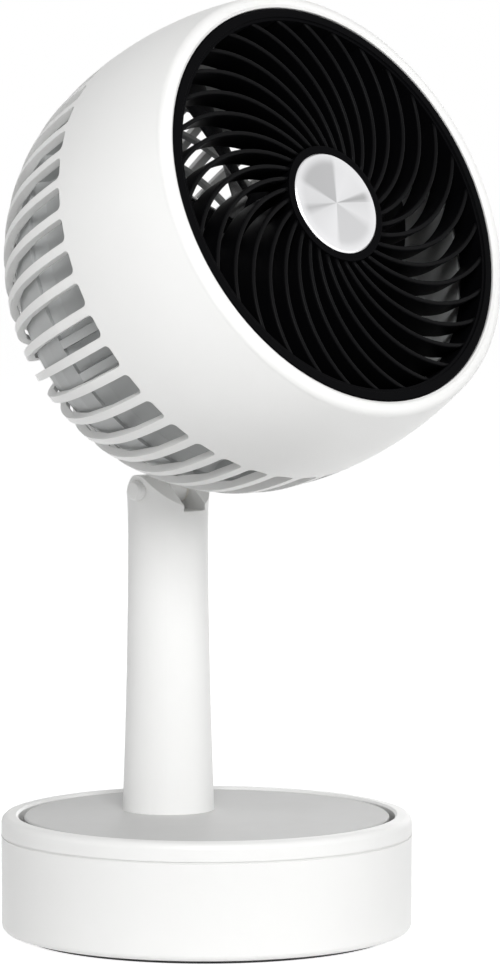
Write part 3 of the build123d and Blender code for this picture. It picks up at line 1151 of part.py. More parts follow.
export_step(impeller.part, "parts/impeller.step")

# impeller_nut: six-sided nut on the front end of the shaft
with BuildPart() as impeller_nut:
    with BuildSketch(FACE.offset(-IMPELLER_FRONT_DEPTH)):
        RegularPolygon(NUT_RADIUS, 6)
        Circle(SHAFT_SEAT, mode=Mode.SUBTRACT)
    extrude(amount=NUT_HEIGHT)
impeller_nut.part.label = "impeller_nut"
export_step(impeller_nut.part, "parts/impeller_nut.step")
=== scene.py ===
"""Finishes, fine details and studio of a desk air circulator fan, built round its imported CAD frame."""
import json
import math

import bmesh
import bpy
from mathutils import Matrix, Vector


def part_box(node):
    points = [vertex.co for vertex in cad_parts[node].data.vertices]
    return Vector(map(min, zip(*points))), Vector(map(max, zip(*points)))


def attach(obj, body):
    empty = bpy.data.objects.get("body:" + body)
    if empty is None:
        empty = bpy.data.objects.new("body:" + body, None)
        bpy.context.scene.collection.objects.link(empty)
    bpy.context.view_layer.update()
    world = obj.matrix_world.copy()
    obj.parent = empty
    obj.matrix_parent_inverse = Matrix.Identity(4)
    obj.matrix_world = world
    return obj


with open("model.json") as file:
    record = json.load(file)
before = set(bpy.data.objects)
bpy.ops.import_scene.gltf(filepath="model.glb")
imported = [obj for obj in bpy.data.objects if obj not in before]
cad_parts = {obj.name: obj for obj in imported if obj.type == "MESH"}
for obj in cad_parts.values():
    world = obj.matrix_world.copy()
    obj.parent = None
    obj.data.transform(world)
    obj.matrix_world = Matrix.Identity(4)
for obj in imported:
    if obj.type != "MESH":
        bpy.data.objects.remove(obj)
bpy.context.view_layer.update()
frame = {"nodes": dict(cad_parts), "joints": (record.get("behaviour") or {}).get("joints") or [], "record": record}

bl_info = {
    "name": "Desk Air Circulator",
    "version": (1, 0, 0),
    "blender": (4, 5, 0),
    "location": "3D View > Sidebar > Fan",
    "description": "Finishes, fine details and studio of a desk air circulator fan",
    "category": "Object",
}

# ---------------------------------------------------------------- places and sizes, in metres
# The middle of the grille's front, and the lean of the face at rest.
FACE_TILT = math.radians(23.1)
FACE_CENTRE = Vector(next(j["pos_m"] for j in frame["joints"] if j["name"] == "impeller_spin"))
FACE_TURN = (math.pi / 2 - FACE_TILT, 0.0, 0.0)
FACE_MATRIX = Matrix.Translation(FACE_CENTRE) @ Matrix.Rotation(FACE_TURN[0], 4, "X")

# The grille's vanes, by radius from the fan's axis: each crown's ends, and the stretch that the CAD sweeps.
VANE_COUNT = 33
VANE_START = 0.0213
VANE_END = 0.0708
VANE_TURN_START = 0.0219
VANE_TURN_END = 0.0702
VANE_SWEEP = math.radians(46.8)
VANE_SWEEP_RATE = VANE_SWEEP / (VANE_TURN_END - VANE_TURN_START)
VANE_FRONT = -0.0015

# The rounded front of a vane: half its width, how deep it sinks into the vane, and its steps.
CROWN_HALF_WIDTH = 0.00083
CROWN_SINK = 0.0001
CROWN_STEPS = 16
CROWN_FACETS = 6

# The thin ring that closes the seam between the base and its rim.
SEAM_GAP = 0.0006
SEAM_DEPTH = 0.0003
SEAM_TONGUE = 0.0012
SEAM_SHARP_ANGLE = 30.0
TURNED_FACETS = 160

# Even shading of the base's rounded edges: welding distance, corner angle in degrees and weight.
WELD_DISTANCE = 0.000002
CORNER_ANGLE = 35.0
NORMAL_WEIGHT = 60

# Painted sheen of the turned disc: each share of a turn and its grey, fanned out in soft sectors.
DISC_PAINTED_SHEEN = [
    (0.000, 0.70), (0.018, 0.50), (0.030, 0.56), (0.045, 0.88), (0.140, 0.93), (0.195, 0.90),
    (0.215, 0.60), (0.400, 0.58), (0.425, 0.84), (0.495, 0.80), (0.518, 0.58), (0.550, 0.84),
    (0.690, 0.93), (0.710, 0.72), (0.880, 0.72), (0.925, 0.88), (0.985, 0.84)]
DISC_RING_SCALE = 2600.0

# Camera at the photograph's place, and the studio round it. A lamp's turn and rise are in degrees from the
# camera's own direction, and its size is its width and height.
CAMERA_PLACE = Vector((-1.2754, -1.3132, 0.30655))
CAMERA_VIEW = Vector((0.7008, 0.7092, -0.0773))
CAMERA_AZIMUTH = math.atan2(-CAMERA_VIEW.y, -CAMERA_VIEW.x)
LAMP_AIM = Vector((0.0, -0.03, 0.19))
LAMP_DISTANCE = 1.6
LAMPS = {
    "front": {"turn": 6.0, "rise": 32.0, "size": (0.7, 0.7)},
    "right": {"turn": 72.0, "rise": 12.0, "size": (1.6, 0.9)},
    "left": {"turn": -72.0, "rise": 12.0, "size": (1.6, 0.9)},
    "back": {"turn": 160.0, "rise": 8.0, "size": (1.2, 0.7)},
}
FLOOR_RADIUS = 6.0
FLOOR_DROP = 0.0002
FLOOR_LIFT = 0.85


def record_colour(slot):
    """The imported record's own colour of a material slot."""
    return next(m["base_color"][:3] for m in frame["record"]["materials"] if m["slot"] == slot)


# ---------------------------------------------------------------- node helpers
def node(tree, kind, inputs=None, **attributes):
    """A node with its attributes set and its inputs filled or linked, by name or number."""
    made = tree.nodes.new(kind)
    for name, value in attributes.items():
        setattr(made, name, value)
    for name, value in (inputs or {}).items():
        if isinstance(value, bpy.types.NodeSocket):
            tree.links.new(value, made.inputs[name])
        else:
            made.inputs[name].default_value = value
    return made


def maths(tree, operation, first, second=0.0, clamp=False):
    """Output of a Math node."""
    return node(tree, "ShaderNodeMath", {0: first, 1: second}, operation=operation,
                use_clamp=clamp).outputs[0]


def spread(tree, value, low, high):
    """Maps the middle of a noise value's range onto the range from low to high."""
    inputs = {"Value": value, "From Min": 0.3, "From Max": 0.7, "To Min": low, "To Max": high}
    return node(tree, "ShaderNodeMapRange", inputs).outputs[0]


def blend(tree, factor, first, second, blend_type="MIX"):
    """Mix node that goes from the first colour to the second."""
    return node(tree, "ShaderNodeMix", {"Factor": factor, "A": first, "B": second}, data_type="RGBA",
                blend_type=blend_type).outputs["Result"]


def noise(tree, vector, scale, detail):
    """Value of a noise texture."""
    return node(tree, "ShaderNodeTexNoise", {"Vector": vector, "Scale": scale, "Detail": detail}).outputs[0]


def new_group(name, inputs, outputs):
    """An empty shader group with its entry and exit nodes."""
    group = bpy.data.node_groups.new(name, "ShaderNodeTree")
    for label, kind, default in inputs:
        socket = group.interface.new_socket(label, in_out="INPUT", socket_type=kind)
        if default is not None:
            socket.default_value = default
    for label, kind in outputs:
        group.interface.new_socket(label, in_out="OUTPUT", socket_type=kind)
    return group, group.nodes.new("NodeGroupInput"), group.nodes.new("NodeGroupOutput")


def moulded_surface_group():
    """Slight changes of tone and gloss and the fine grain of a moulded surface."""
    group, entry, leave = new_group(
        "moulded_surface",
        [("Vector", "NodeSocketVector", None), ("Colour", "NodeSocketColor", (0.8, 0.8, 0.8, 1.0)),
         ("Roughness", "NodeSocketFloat", 0.4), ("Tone Change", "NodeSocketFloat", 0.02),
         ("Gloss Change", "NodeSocketFloat", 0.05), ("Grain Scale", "NodeSocketFloat", 1500.0)],
        [("Colour", "NodeSocketColor"), ("Roughness", "NodeSocketFloat"), ("Height", "NodeSocketFloat")])
    broad = noise(group, entry.outputs["Vector"], 22.0, 3.0)
    patch = noise(group, entry.outputs["Vector"], 130.0, 4.0)
    grain = noise(group, entry.outputs["Vector"], entry.outputs["Grain Scale"], 2.0)
    tone = maths(group, "MULTIPLY", spread(group, broad, 0.0, 1.0), entry.outputs["Tone Change"])
    gloss = maths(group, "MULTIPLY", spread(group, patch, -0.5, 0.5), entry.outputs["Gloss Change"])
    link = group.links.new
    link(blend(group, tone, entry.outputs["Colour"], (0, 0, 0, 1)), leave.inputs["Colour"])
    link(maths(group, "ADD", gloss, entry.outputs["Roughness"]), leave.inputs["Roughness"])
    link(grain, leave.inputs["Height"])
    return group


def soft_edge_group():
    """Normal of an edge with a small radius, and a mask of where that edge is."""
    group, entry, leave = new_group(
        "soft_edge", [("Radius", "NodeSocketFloat", 0.0004)],
        [("Normal", "NodeSocketVector"), ("Edge", "NodeSocketFloat")])
    bevel = node(group, "ShaderNodeBevel", {"Radius": entry.outputs["Radius"]}, samples=4)
    flat = node(group, "ShaderNodeNewGeometry")
    match = node(group, "ShaderNodeVectorMath", {0: bevel.outputs[0], 1: flat.outputs["Normal"]},
                 operation="DOT_PRODUCT")
    edge = maths(group, "SUBTRACT", 1.0, match.outputs["Value"], clamp=True)
    group.links.new(bevel.outputs[0], leave.inputs["Normal"])
    group.links.new(maths(group, "MULTIPLY", edge, 4.0, clamp=True), leave.inputs["Edge"])
    return group


def turned_face_group():
    """Painted sheen fanned in grey sectors and paling towards the rim, roughness and grooves of a face turned on a
    lathe, about the Z axis of its vector.
    """
    group, entry, leave = new_group(
        "turned_face", [("Vector", "NodeSocketVector", None), ("Groove Pitch", "NodeSocketFloat", 0.00022),
                        ("Rim Radius", "NodeSocketFloat", 0.02)],
        [("Tone", "NodeSocketColor"), ("Roughness", "NodeSocketFloat"), ("Height", "NodeSocketFloat")])
    split = node(group, "ShaderNodeSeparateXYZ", {"Vector": entry.outputs["Vector"]})
    across, along = split.outputs["X"], split.outputs["Y"]
    squares = [maths(group, "MULTIPLY", part, part) for part in (across, along)]
    radius = maths(group, "SQRT", maths(group, "ADD", *squares))
    turns = maths(group, "DIVIDE", maths(group, "ARCTAN2", along, across), 2 * math.pi)
    # Painted sheen: grey sectors by the share of a turn, standing in for the reflections of the turned face.
    ramp = node(group, "ShaderNodeValToRGB", {"Fac": maths(group, "FRACT", turns)})
    ramp.color_ramp.elements.remove(ramp.color_ramp.elements[0])
    for number, (place, grey) in enumerate(DISC_PAINTED_SHEEN):
        stop = ramp.color_ramp.elements[0] if number == 0 else ramp.color_ramp.elements.new(place)
        stop.position = place
        stop.color = (grey, grey, grey, 1.0)
    grooves = maths(group, "DIVIDE", radius, entry.outputs["Groove Pitch"])
    wave = maths(group, "SINE", maths(group, "MULTIPLY", grooves, 2 * math.pi))
    rings = node(group, "ShaderNodeTexNoise", {"W": maths(group, "MULTIPLY", radius, DISC_RING_SCALE),
                                               "Scale": 1.0, "Detail": 3.0}, noise_dimensions="1D").outputs[0]
    share = maths(group, "DIVIDE", radius, entry.outputs["Rim Radius"])
    # Towards the rim the painted sheen pales to a light grey.
    fade = node(group, "ShaderNodeMapRange",
                {"Value": share, "From Min": 0.74, "From Max": 0.96, "To Max": 0.85},
                interpolation_type="SMOOTHSTEP").outputs[0]
    painted_sheen = blend(group, fade, ramp.outputs[0], (0.96, 0.96, 0.96, 1.0))
    height = maths(group, "ADD", maths(group, "MULTIPLY", wave, 0.35), maths(group, "MULTIPLY", rings, 0.3))
    # The Tone output carries the painted sheen.
    group.links.new(painted_sheen, leave.inputs["Tone"])
    group.links.new(spread(group, rings, 0.28, 0.33), leave.inputs["Roughness"])
    group.links.new(height, leave.inputs["Height"])
    return group


def cast_skin_group():
    """Height and tone of a rough cast or sintered skin."""
    group, entry, leave = new_group(
        "cast_skin", [("Vector", "NodeSocketVector", None), ("Scale", "NodeSocketFloat", 400.0)],
        [("Tone", "NodeSocketFloat"), ("Height", "NodeSocketFloat")])
    pits = node(group, "ShaderNodeTexVoronoi",
                {"Vector": entry.outputs["Vector"], "Scale": entry.outputs["Scale"]}).outputs["Distance"]
    cloud = noise(group, entry.outputs["Vector"], 90.0, 5.0)
    group.links.new(cloud, leave.inputs["Tone"])
    group.links.new(maths(group, "ADD", maths(group, "MULTIPLY", pits, 0.6), cloud), leave.inputs["Height"])
    return group


GROUP_BUILDERS = {"moulded_surface": moulded_surface_group, "soft_edge": soft_edge_group,
                  "turned_face": turned_face_group, "cast_skin": cast_skin_group}
GROUPS = {}


def group_node(tree, name, inputs):
    """A shared effect placed in a material with this material's own values."""
    if name not in GROUPS:
        GROUPS[name] = GROUP_BUILDERS[name]()
    return node(tree, "ShaderNodeGroup", inputs, node_tree=GROUPS[name])


# ---------------------------------------------------------------- materials
def new_material(name):
    """A material with only its Principled shader and output: the material, its tree and the shader."""
    made = bpy.data.materials.new(name)
    made.use_nodes = True
    tree = made.node_tree
    shader = next(n for n in tree.nodes if n.type == "BSDF_PRINCIPLED")
    return made, tree, shader


def finish_shader(tree, shader, colour, roughness, bump):
    """Links a changing colour, roughness and bump to a material's shader."""
    tree.links.new(colour, shader.inputs["Base Color"])
    tree.links.new(roughness, shader.inputs["Roughness"])
    tree.links.new(bump.outputs[0], shader.inputs["Normal"])


def object_place(tree):
    """Coordinates that stay with the piece as it moves."""
    return node(tree, "ShaderNodeTexCoord").outputs["Object"]


def face_place(tree):
    """Coordinates about the middle of the grille's front, with Z along the fan's axis."""
    return node(tree, "ShaderNodeMapping", {"Vector": object_place(tree), "Location": FACE_CENTRE,
                                            "Rotation": FACE_TURN}, vector_type="TEXTURE").outputs[0]


def moulded(name, colour, roughness, grain_depth=0.00002, edge_radius=0.0004, tone=0.03, specular=0.5):
    """Moulded plastic: slight tone and gloss changes, fine grain and softened edges."""
    made, tree, shader = new_material(name)
    skin = group_node(tree, "moulded_surface", {
        "Vector": object_place(tree), "Colour": (*colour, 1.0), "Roughness": roughness,
        "Tone Change": tone})
    edge = group_node(tree, "soft_edge", {"Radius": edge_radius})
    bump = node(tree, "ShaderNodeBump", {"Height": skin.outputs["Height"], "Distance": grain_depth,
                                         "Strength": 0.5, "Normal": edge.outputs["Normal"]})
    finish_shader(tree, shader, skin.outputs["Colour"], skin.outputs["Roughness"], bump)
    shader.inputs["Specular IOR Level"].default_value = specular
    return made


def drawn_metal(name, colour, roughness, grain_scale=260.0):
    """Bright metal with fine drawn marks along Z and slight changes of gloss."""
    made, tree, shader = new_material(name)
    place = object_place(tree)
    stretched = node(tree, "ShaderNodeMapping", {"Vector": place, "Scale": (1.0, 1.0, 0.06)})
    marks = noise(tree, stretched.outputs[0], grain_scale * 8, 3.0)
    cloud = noise(tree, place, grain_scale, 3.0)
    tone = blend(tree, spread(tree, cloud, 0.0, 0.25), (*colour, 1.0), (*[c * 0.6 for c in colour], 1.0))
    edge = group_node(tree, "soft_edge", {"Radius": 0.00015})
    bump = node(tree, "ShaderNodeBump", {"Height": marks, "Distance": 0.00001, "Strength": 0.4,
                                         "Normal": edge.outputs["Normal"]})
    finish_shader(tree, shader, tone, spread(tree, marks, roughness - 0.06, roughness + 0.08), bump)
    shader.inputs["Metallic"].default_value = 1.0
    return made


def cast_metal(name, colour, roughness, metallic):
    """Dark cast or sintered metal with a rough skin."""
    made, tree, shader = new_material(name)
    skin = group_node(tree, "cast_skin", {"Vector": object_place(tree)})
    tone = blend(tree, skin.outputs["Tone"], (*colour, 1.0), (*[c * 0.5 for c in colour], 1.0))
    gloss = spread(tree, skin.outputs["Tone"], roughness - 0.08, roughness + 0.08)
    bump = node(tree, "ShaderNodeBump",
                {"Height": skin.outputs["Height"], "Distance": 0.0001, "Strength": 0.6})
    finish_shader(tree, shader, tone, gloss, bump)
    shader.inputs["Metallic"].default_value = metallic
    return made


def turned_aluminium(name, colour, groove_pitch, rim_radius):
    """Lathe-turned aluminium with a painted sheen that fans out from the centre, and painted highlights along its
    edges.
    """
    made, tree, shader = new_material(name)
    face = group_node(tree, "turned_face", {"Vector": face_place(tree), "Groove Pitch": groove_pitch,
                                            "Rim Radius": rim_radius})
    tinted = blend(tree, 1.0, face.outputs["Tone"], (*colour, 1.0), "MULTIPLY")
    edge = group_node(tree, "soft_edge", {"Radius": 0.0002})
    # Painted highlight: the colour goes towards white along the edges.
    painted_edge_highlight = blend(tree, edge.outputs["Edge"], tinted, (1, 1, 1, 1))
    bump = node(tree, "ShaderNodeBump", {"Height": face.outputs["Height"], "Distance": 0.000002,
                                         "Strength": 0.5, "Normal": edge.outputs["Normal"]})
    finish_shader(tree, shader, painted_edge_highlight, face.outputs["Roughness"], bump)
    shader.inputs["Metallic"].default_value = 1.0
    return made


def coat_nodes(names, material):
    """Gives CAD nodes a finish."""
    for name in names:
        part = frame["nodes"].get(name)
        if part is None:
            raise RuntimeError(f"the frame has no node {name}")
        part.data.materials.clear()
        part.data.materials.append(material)


def smooth_steps(names):
    """Evens the shading over the short steps of rounded edges, and leaves every vertex where it is."""
    for name in names:
        part = frame["nodes"][name]
        part.modifiers.new("join_faces", "WELD").merge_threshold = WELD_DISTANCE
        part.modifiers.new("keep_corners", "EDGE_SPLIT").split_angle = math.radians(CORNER_ANGLE)
        evened = part.modifiers.new("even_shading", "WEIGHTED_NORMAL")
        evened.mode = "FACE_AREA"
        evened.weight = NORMAL_WEIGHT


# ---------------------------------------------------------------- mesh helpers
def new_piece(name, mesh_maker, material, body, sharp_angle=None):
    """A smooth-shaded mesh piece that rides on a body, with its edges over an angle in degrees sharp."""
    shape = bmesh.new()
    mesh_maker(shape)
    bmesh.ops.recalc_face_normals(shape, faces=shape.faces)
    mesh = bpy.data.meshes.new(name)
    shape.to_mesh(mesh)
    shape.free()
    mesh.shade_smooth()
    if sharp_angle:
        mesh.set_sharp_from_angle(angle=math.radians(sharp_angle))
    piece = bpy.data.objects.new(name, mesh)
    bpy.context.scene.collection.objects.link(piece)
    mesh.materials.append(material)
    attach(piece, body)
    return piece


def bridge_loops(shape, loops, closed=True):
    """Faces between neighbouring rings of vertices that have the same length."""
    for lower, upper in zip(loops, loops[1:]):
        count = len(lower)
        for i in range(count if closed else count - 1):
            j = (i + 1) % count
            shape.faces.new((lower[i], lower[j], upper[j], upper[i]))


def turned_ring(shape, outline):
    """A closed outline of radii and heights turned about the Z axis."""
    rings = []
    for number in range(TURNED_FACETS):
        turn = 2 * math.pi * number / TURNED_FACETS
        rings.append([shape.verts.new((radius * math.cos(turn), radius * math.sin(turn), height))
                      for radius, height in outline])
    bridge_loops(shape, rings + rings[:1])


def arc_through(first, middle, last, steps):
    """Points on the arc through three points of a plane, and each point's radial direction."""
    ax, ay, bx, by, cx, cy = *first, *middle, *last
    a_square, b_square, c_square = ax * ax + ay * ay, bx * bx + by * by, cx * cx + cy * cy
    twice = 2 * (ax * (by - cy) + bx * (cy - ay) + cx * (ay - by))
    ux = (a_square * (by - cy) + b_square * (cy - ay) + c_square * (ay - by)) / twice
    uy = (a_square * (cx - bx) + b_square * (ax - cx) + c_square * (bx - ax)) / twice
    radius = math.hypot(ax - ux, ay - uy)
    start = math.atan2(ay - uy, ax - ux)
    swing = (math.atan2(cy - uy, cx - ux) - start + math.pi) % (2 * math.pi) - math.pi
    points = []
    for i in range(steps + 1):
        angle = start + swing * i / steps
        out = Vector((math.cos(angle), math.sin(angle)))
        points.append((Vector((ux, uy)) + out * radius, out))
    return points


def vane_place(radius):
    """Middle of the first vane at a radius, in the plane of the face."""
    turn = VANE_SWEEP_RATE * (radius - VANE_TURN_START)
    return radius * math.cos(turn), radius * math.sin(turn)


# ---------------------------------------------------------------- settings
class HousingSettings(bpy.types.PropertyGroup):
    """Finish of the white mouldings"""
    colour: bpy.props.FloatVectorProperty(
        name="Colour", description="Colour of the white mouldings", subtype="COLOR", size=3,
        min=0.0, max=1.0, default=record_colour("white_plastic"))
    # A light grey plastic, painted darker still as shade on its upward face.
    plate_colour_with_painted_shade: bpy.props.FloatVectorProperty(
        name="Plate colour", description="Colour of the turntable plate", subtype="COLOR", size=3,
        min=0.0, max=1.0, default=(0.58, 0.58, 0.575))
    roughness: bpy.props.FloatProperty(
        name="Roughness", description="Roughness of the satin skin", subtype="FACTOR",
        min=0.0, max=1.0, default=0.42)
    edge_radius: bpy.props.FloatProperty(
        name="Edge radius", description="Radius of the softened edges", unit="LENGTH",
        min=0.0, max=0.002, default=0.0004, precision=5)


class AirPathSettings(bpy.types.PropertyGroup):
    """Finish of the grille, impeller and duct"""
    grille_colour: bpy.props.FloatVectorProperty(
        name="Grille colour", description="Colour of the grille", subtype="COLOR", size=3,
        min=0.0, max=1.0, default=(0.0025, 0.0025, 0.003))
    # The vanes' black, painted a little lighter than the grille as a painted highlight along their fronts.
    crown_painted_highlight_colour: bpy.props.FloatVectorProperty(
        name="Crown colour", description="Colour of the vanes' rounded fronts", subtype="COLOR", size=3,
        min=0.0, max=1.0, default=(0.0045, 0.0045, 0.005))
    crown_height: bpy.props.FloatProperty(
        name="Crown height", description="How far a vane's rounded front stands forward", unit="LENGTH",
        min=0.0002, max=0.001, default=0.0008, precision=5)
    impeller_colour: bpy.props.FloatVectorProperty(
        name="Impeller colour", description="Colour of the impeller", subtype="COLOR", size=3,
        min=0.0, max=1.0, default=(0.008, 0.008, 0.009))
    duct_colour: bpy.props.FloatVectorProperty(
        name="Duct colour", description="Colour of the duct and liner behind the slots",
        subtype="COLOR", size=3, min=0.0, max=1.0, default=(0.48, 0.49, 0.49))
    disc_colour: bpy.props.FloatVectorProperty(
        name="Disc colour", description="Colour of the turned disc", subtype="COLOR", size=3,
        min=0.0, max=1.0, default=record_colour("turned_aluminium"))
    groove_pitch: bpy.props.FloatProperty(
        name="Groove pitch", description="Distance between the disc's turned grooves", unit="LENGTH",
        min=0.00005, max=0.001, default=0.00022, precision=5)


class StageSettings(bpy.types.PropertyGroup):
    """Camera, lamps and floor"""
    floor_colour: bpy.props.FloatVectorProperty(
        name="Floor colour", description="Colour of the floor", subtype="COLOR", size=3,
        min=0.0, max=1.0, default=(0.9, 0.9, 0.9))
    front_power: bpy.props.FloatProperty(
        name="Front power", description="Power of the raised lamp over the camera", unit="POWER",
        min=0.0, max=200.0, default=19.0)
    right_power: bpy.props.FloatProperty(
        name="Right power", description="Power of the wide lamp on the camera's right", unit="POWER",
        min=0.0, max=200.0, default=6.3)
    left_power: bpy.props.FloatProperty(
        name="Left power", description="Power of the wide lamp on the camera's left", unit="POWER",
        min=0.0, max=200.0, default=4.2)
    back_power: bpy.props.FloatProperty(
        name="Back power", description="Power of the lamp behind the fan", unit="POWER",
        min=0.0, max=200.0, default=3.5)
    room_light: bpy.props.FloatProperty(
        name="Room light", description="Strength of the light from all round", subtype="FACTOR",
        min=0.0, max=2.0, default=0.15)
    lens: bpy.props.FloatProperty(
        name="Lens", description="Focal length for a frame 36 mm high", unit="CAMERA",
        min=20.0, max=400.0, default=188.22)


# ---------------------------------------------------------------- operators
class FAN_OT_dress_housing(bpy.types.Operator):
    """Gives the white mouldings and the turntable plate their satin plastic"""
    bl_idname = "fan.dress_housing"
    bl_label = "Housing"

    def execute(self, context):
        settings = context.scene.fan_housing
        white = moulded("satin_white_plastic", settings.colour, settings.roughness,
                        edge_radius=settings.edge_radius, tone=0.02)
        # The plate's colour holds painted shade on its upward face.
        plate = moulded("satin_plate_plastic", settings.plate_colour_with_painted_shade, settings.roughness + 0.1,
                        edge_radius=settings.edge_radius, tone=0.02)
        coat_nodes(("base_shell", "base_rim", "base_cover", "post", "pivot_caps", "tilt_lug", "head_shell",
                    "rear_cap"), white)
        coat_nodes(("turntable_plate",), plate)
        smooth_steps(("base_shell", "base_rim"))
        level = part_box("base_shell")[1].z
        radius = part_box("base_shell")[1].x - SEAM_DEPTH
        outline = [(radius - SEAM_TONGUE, level), (radius, level), (radius, level + SEAM_GAP),
                   (radius - SEAM_TONGUE, level + SEAM_GAP)]
        new_piece("seam_tongue", lambda shape: turned_ring(shape, outline), white, "base",
                  sharp_angle=SEAM_SHARP_ANGLE)
        return {"FINISHED"}


class FAN_OT_build_grille(bpy.types.Operator):
    """Finishes the spiral grille and gives each vane its rounded front"""
    bl_idname = "fan.build_grille"
    bl_label = "Grille"

    def execute(self, context):
        settings = context.scene.fan_air_path
        black = moulded("satin_black_plastic", settings.grille_colour, roughness=0.38,
                        edge_radius=0.0005, tone=0.2, specular=0.015)
        # The vane fronts are painted a little lighter than the grille, as a painted highlight.
        crown = moulded("satin_vane_front", settings.crown_painted_highlight_colour, roughness=0.36,
                        edge_radius=0.0001, tone=0.2, specular=0.035)
        coat_nodes(("front_grille",), black)
        line = arc_through(vane_place(VANE_START), vane_place((VANE_START + VANE_END) / 2),
                           vane_place(VANE_END), CROWN_STEPS)
        angles = [math.pi * i / CROWN_FACETS for i in range(CROWN_FACETS + 1)]
        section = [(CROWN_HALF_WIDTH * math.cos(a), settings.crown_height * math.sin(a)) for a in angles]

        def crowns(shape):
            for number in range(VANE_COUNT):
                turn = Matrix.Rotation(2 * math.pi * number / VANE_COUNT, 2)
                loops = []
                for point, out in line:
                    ring = []
                    for side, rise in section:
                        flat = turn @ (point + out * side)
                        place = FACE_MATRIX @ Vector((flat.x, flat.y, VANE_FRONT - CROWN_SINK + rise))
                        ring.append(shape.verts.new(place))
                    loops.append(ring)
                bridge_loops(shape, loops)
                shape.faces.new(loops[0][::-1])
                shape.faces.new(loops[-1])

        new_piece("vane_crowns", crowns, crown, "head")
        return {"FINISHED"}


class FAN_OT_dress_disc(bpy.types.Operator):
    """Gives the middle of the grille its turned aluminium"""
    bl_idname = "fan.dress_disc"
    bl_label = "Centre disc"

    def execute(self, context):
        settings = context.scene.fan_air_path
        lowest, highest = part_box("center_disc")
        aluminium = turned_aluminium("turned_disc_aluminium", settings.disc_colour, settings.groove_pitch,
                                     rim_radius=(highest[0] - lowest[0]) / 2)
        coat_nodes(("center_disc",), aluminium)
        return {"FINISHED"}


class FAN_OT_dress_rotor(bpy.types.Operator):
    """Finishes the impeller, its nut and the turning parts of the motor"""
    bl_idname = "fan.dress_rotor"
    bl_label = "Rotor"

    def execute(self, context):
        settings = context.scene.fan_air_path
        coat_nodes(("impeller",),
                   moulded("gloss_black_plastic", settings.impeller_colour, roughness=0.26,
                           grain_depth=0.000004, tone=0.1, specular=0.25))
        coat_nodes(("impeller_nut", "rotor_shaft", "rotor_can"),
                   drawn_metal("bright_rotor_steel", record_colour("steel"), roughness=0.28))
        coat_nodes(("rotor_magnet",),
                   cast_metal("sintered_magnet", record_colour("iron"), roughness=0.6, metallic=0.4))
        return {"FINISHED"}


class FAN_OT_dress_duct(bpy.types.Operator):
    """Finishes the duct and the motor mount that show through the intake slots"""
    bl_idname = "fan.dress_duct"
    bl_label = "Duct and motor mount"

    def execute(self, context):
        settings = context.scene.fan_air_path
        coat_nodes(("air_duct", "intake_liner"),
                   moulded("plain_duct_plastic", settings.duct_colour, roughness=0.5,
                           edge_radius=0.0003, tone=0.08))
        coat_nodes(("motor_mount",),
                   moulded("plain_mount_plastic", record_colour("mount_plastic"), roughness=0.5,
                           edge_radius=0.0003, tone=0.1))
        coat_nodes(("motor_stator",),
                   cast_metal("laminated_stator_iron", record_colour("iron"), roughness=0.5, metallic=0.8))
        coat_nodes(("motor_bearings",),
                   drawn_metal("bright_bearing_steel", record_colour("steel"), roughness=0.2))
        return {"FINISHED"}


class FAN_OT_dress_base_inside(bpy.types.Operator):
    """Finishes the parts inside the base"""
    bl_idname = "fan.dress_base_inside"
    bl_label = "Inside of the base"

    def execute(self, context):
        coat_nodes(("counterweight",),
                   cast_metal("cast_weight_iron", record_colour("iron"), roughness=0.65, metallic=0.6))
        coat_nodes(("control_board",),
                   moulded("lacquered_board", record_colour("board"), roughness=0.35, tone=0.1))
        coat_nodes(("power_socket", "swing_motor"),
                   drawn_metal("plated_case_steel", record_colour("steel"), roughness=0.3))
        coat_nodes(("swing_gear", "swing_pinion", "thrust_washer", "tilt_washers"),
                   moulded("slippery_gear_plastic", record_colour("gear_plastic"), roughness=0.38,
                           edge_radius=0.0002))
        return {"FINISHED"}


class FAN_OT_dress_fasteners(bpy.types.Operator):
    """Finishes the screws, clip and pin"""
    bl_idname = "fan.dress_fasteners"
    bl_label = "Fasteners"

    def execute(self, context):
        steel = drawn_metal("bright_screw_steel", record_colour("steel"), roughness=0.32)
        coat_nodes(("gear_screws", "post_screws", "lug_screws", "duct_screws", "mount_screws", "spindle_clip",
                    "tilt_pin", "cover_screws"), steel)
        return {"FINISHED"}


class FAN_OT_dress_foot(bpy.types.Operator):
    """Finishes the rubber foot"""
    bl_idname = "fan.dress_foot"
    bl_label = "Foot"

    def execute(self, context):
        coat_nodes(("rubber_foot",),
                   moulded("foot_rubber", record_colour("rubber"), roughness=0.8,
                           grain_depth=0.00006, tone=0.3, specular=0.3))
        return {"FINISHED"}


class FAN_OT_build_stage(bpy.types.Operator):
    """Sets up the floor, lamps, room light and camera"""
    bl_idname = "fan.build_stage"
    bl_label = "Stage"

    def execute(self, context):
        settings = context.scene.fan_stage
        build_floor(settings.floor_colour)
        build_world(settings.room_light)
        for side, lamp in LAMPS.items():
            build_lamp(f"{side}_lamp", power=getattr(settings, f"{side}_power"), **lamp)
        camera = bpy.data.cameras.new("photo_camera")
        camera.lens = settings.lens
        camera.sensor_width = 36.0
        camera.clip_end = 30.0
        holder = bpy.data.objects.new("photo_camera", camera)
        holder.location = CAMERA_PLACE
        holder.rotation_euler = CAMERA_VIEW.to_track_quat("-Z", "Y").to_euler()
        context.scene.collection.objects.link(holder)
        context.scene.camera = holder
        context.scene.view_settings.view_transform = "Standard"
        return {"FINISHED"}


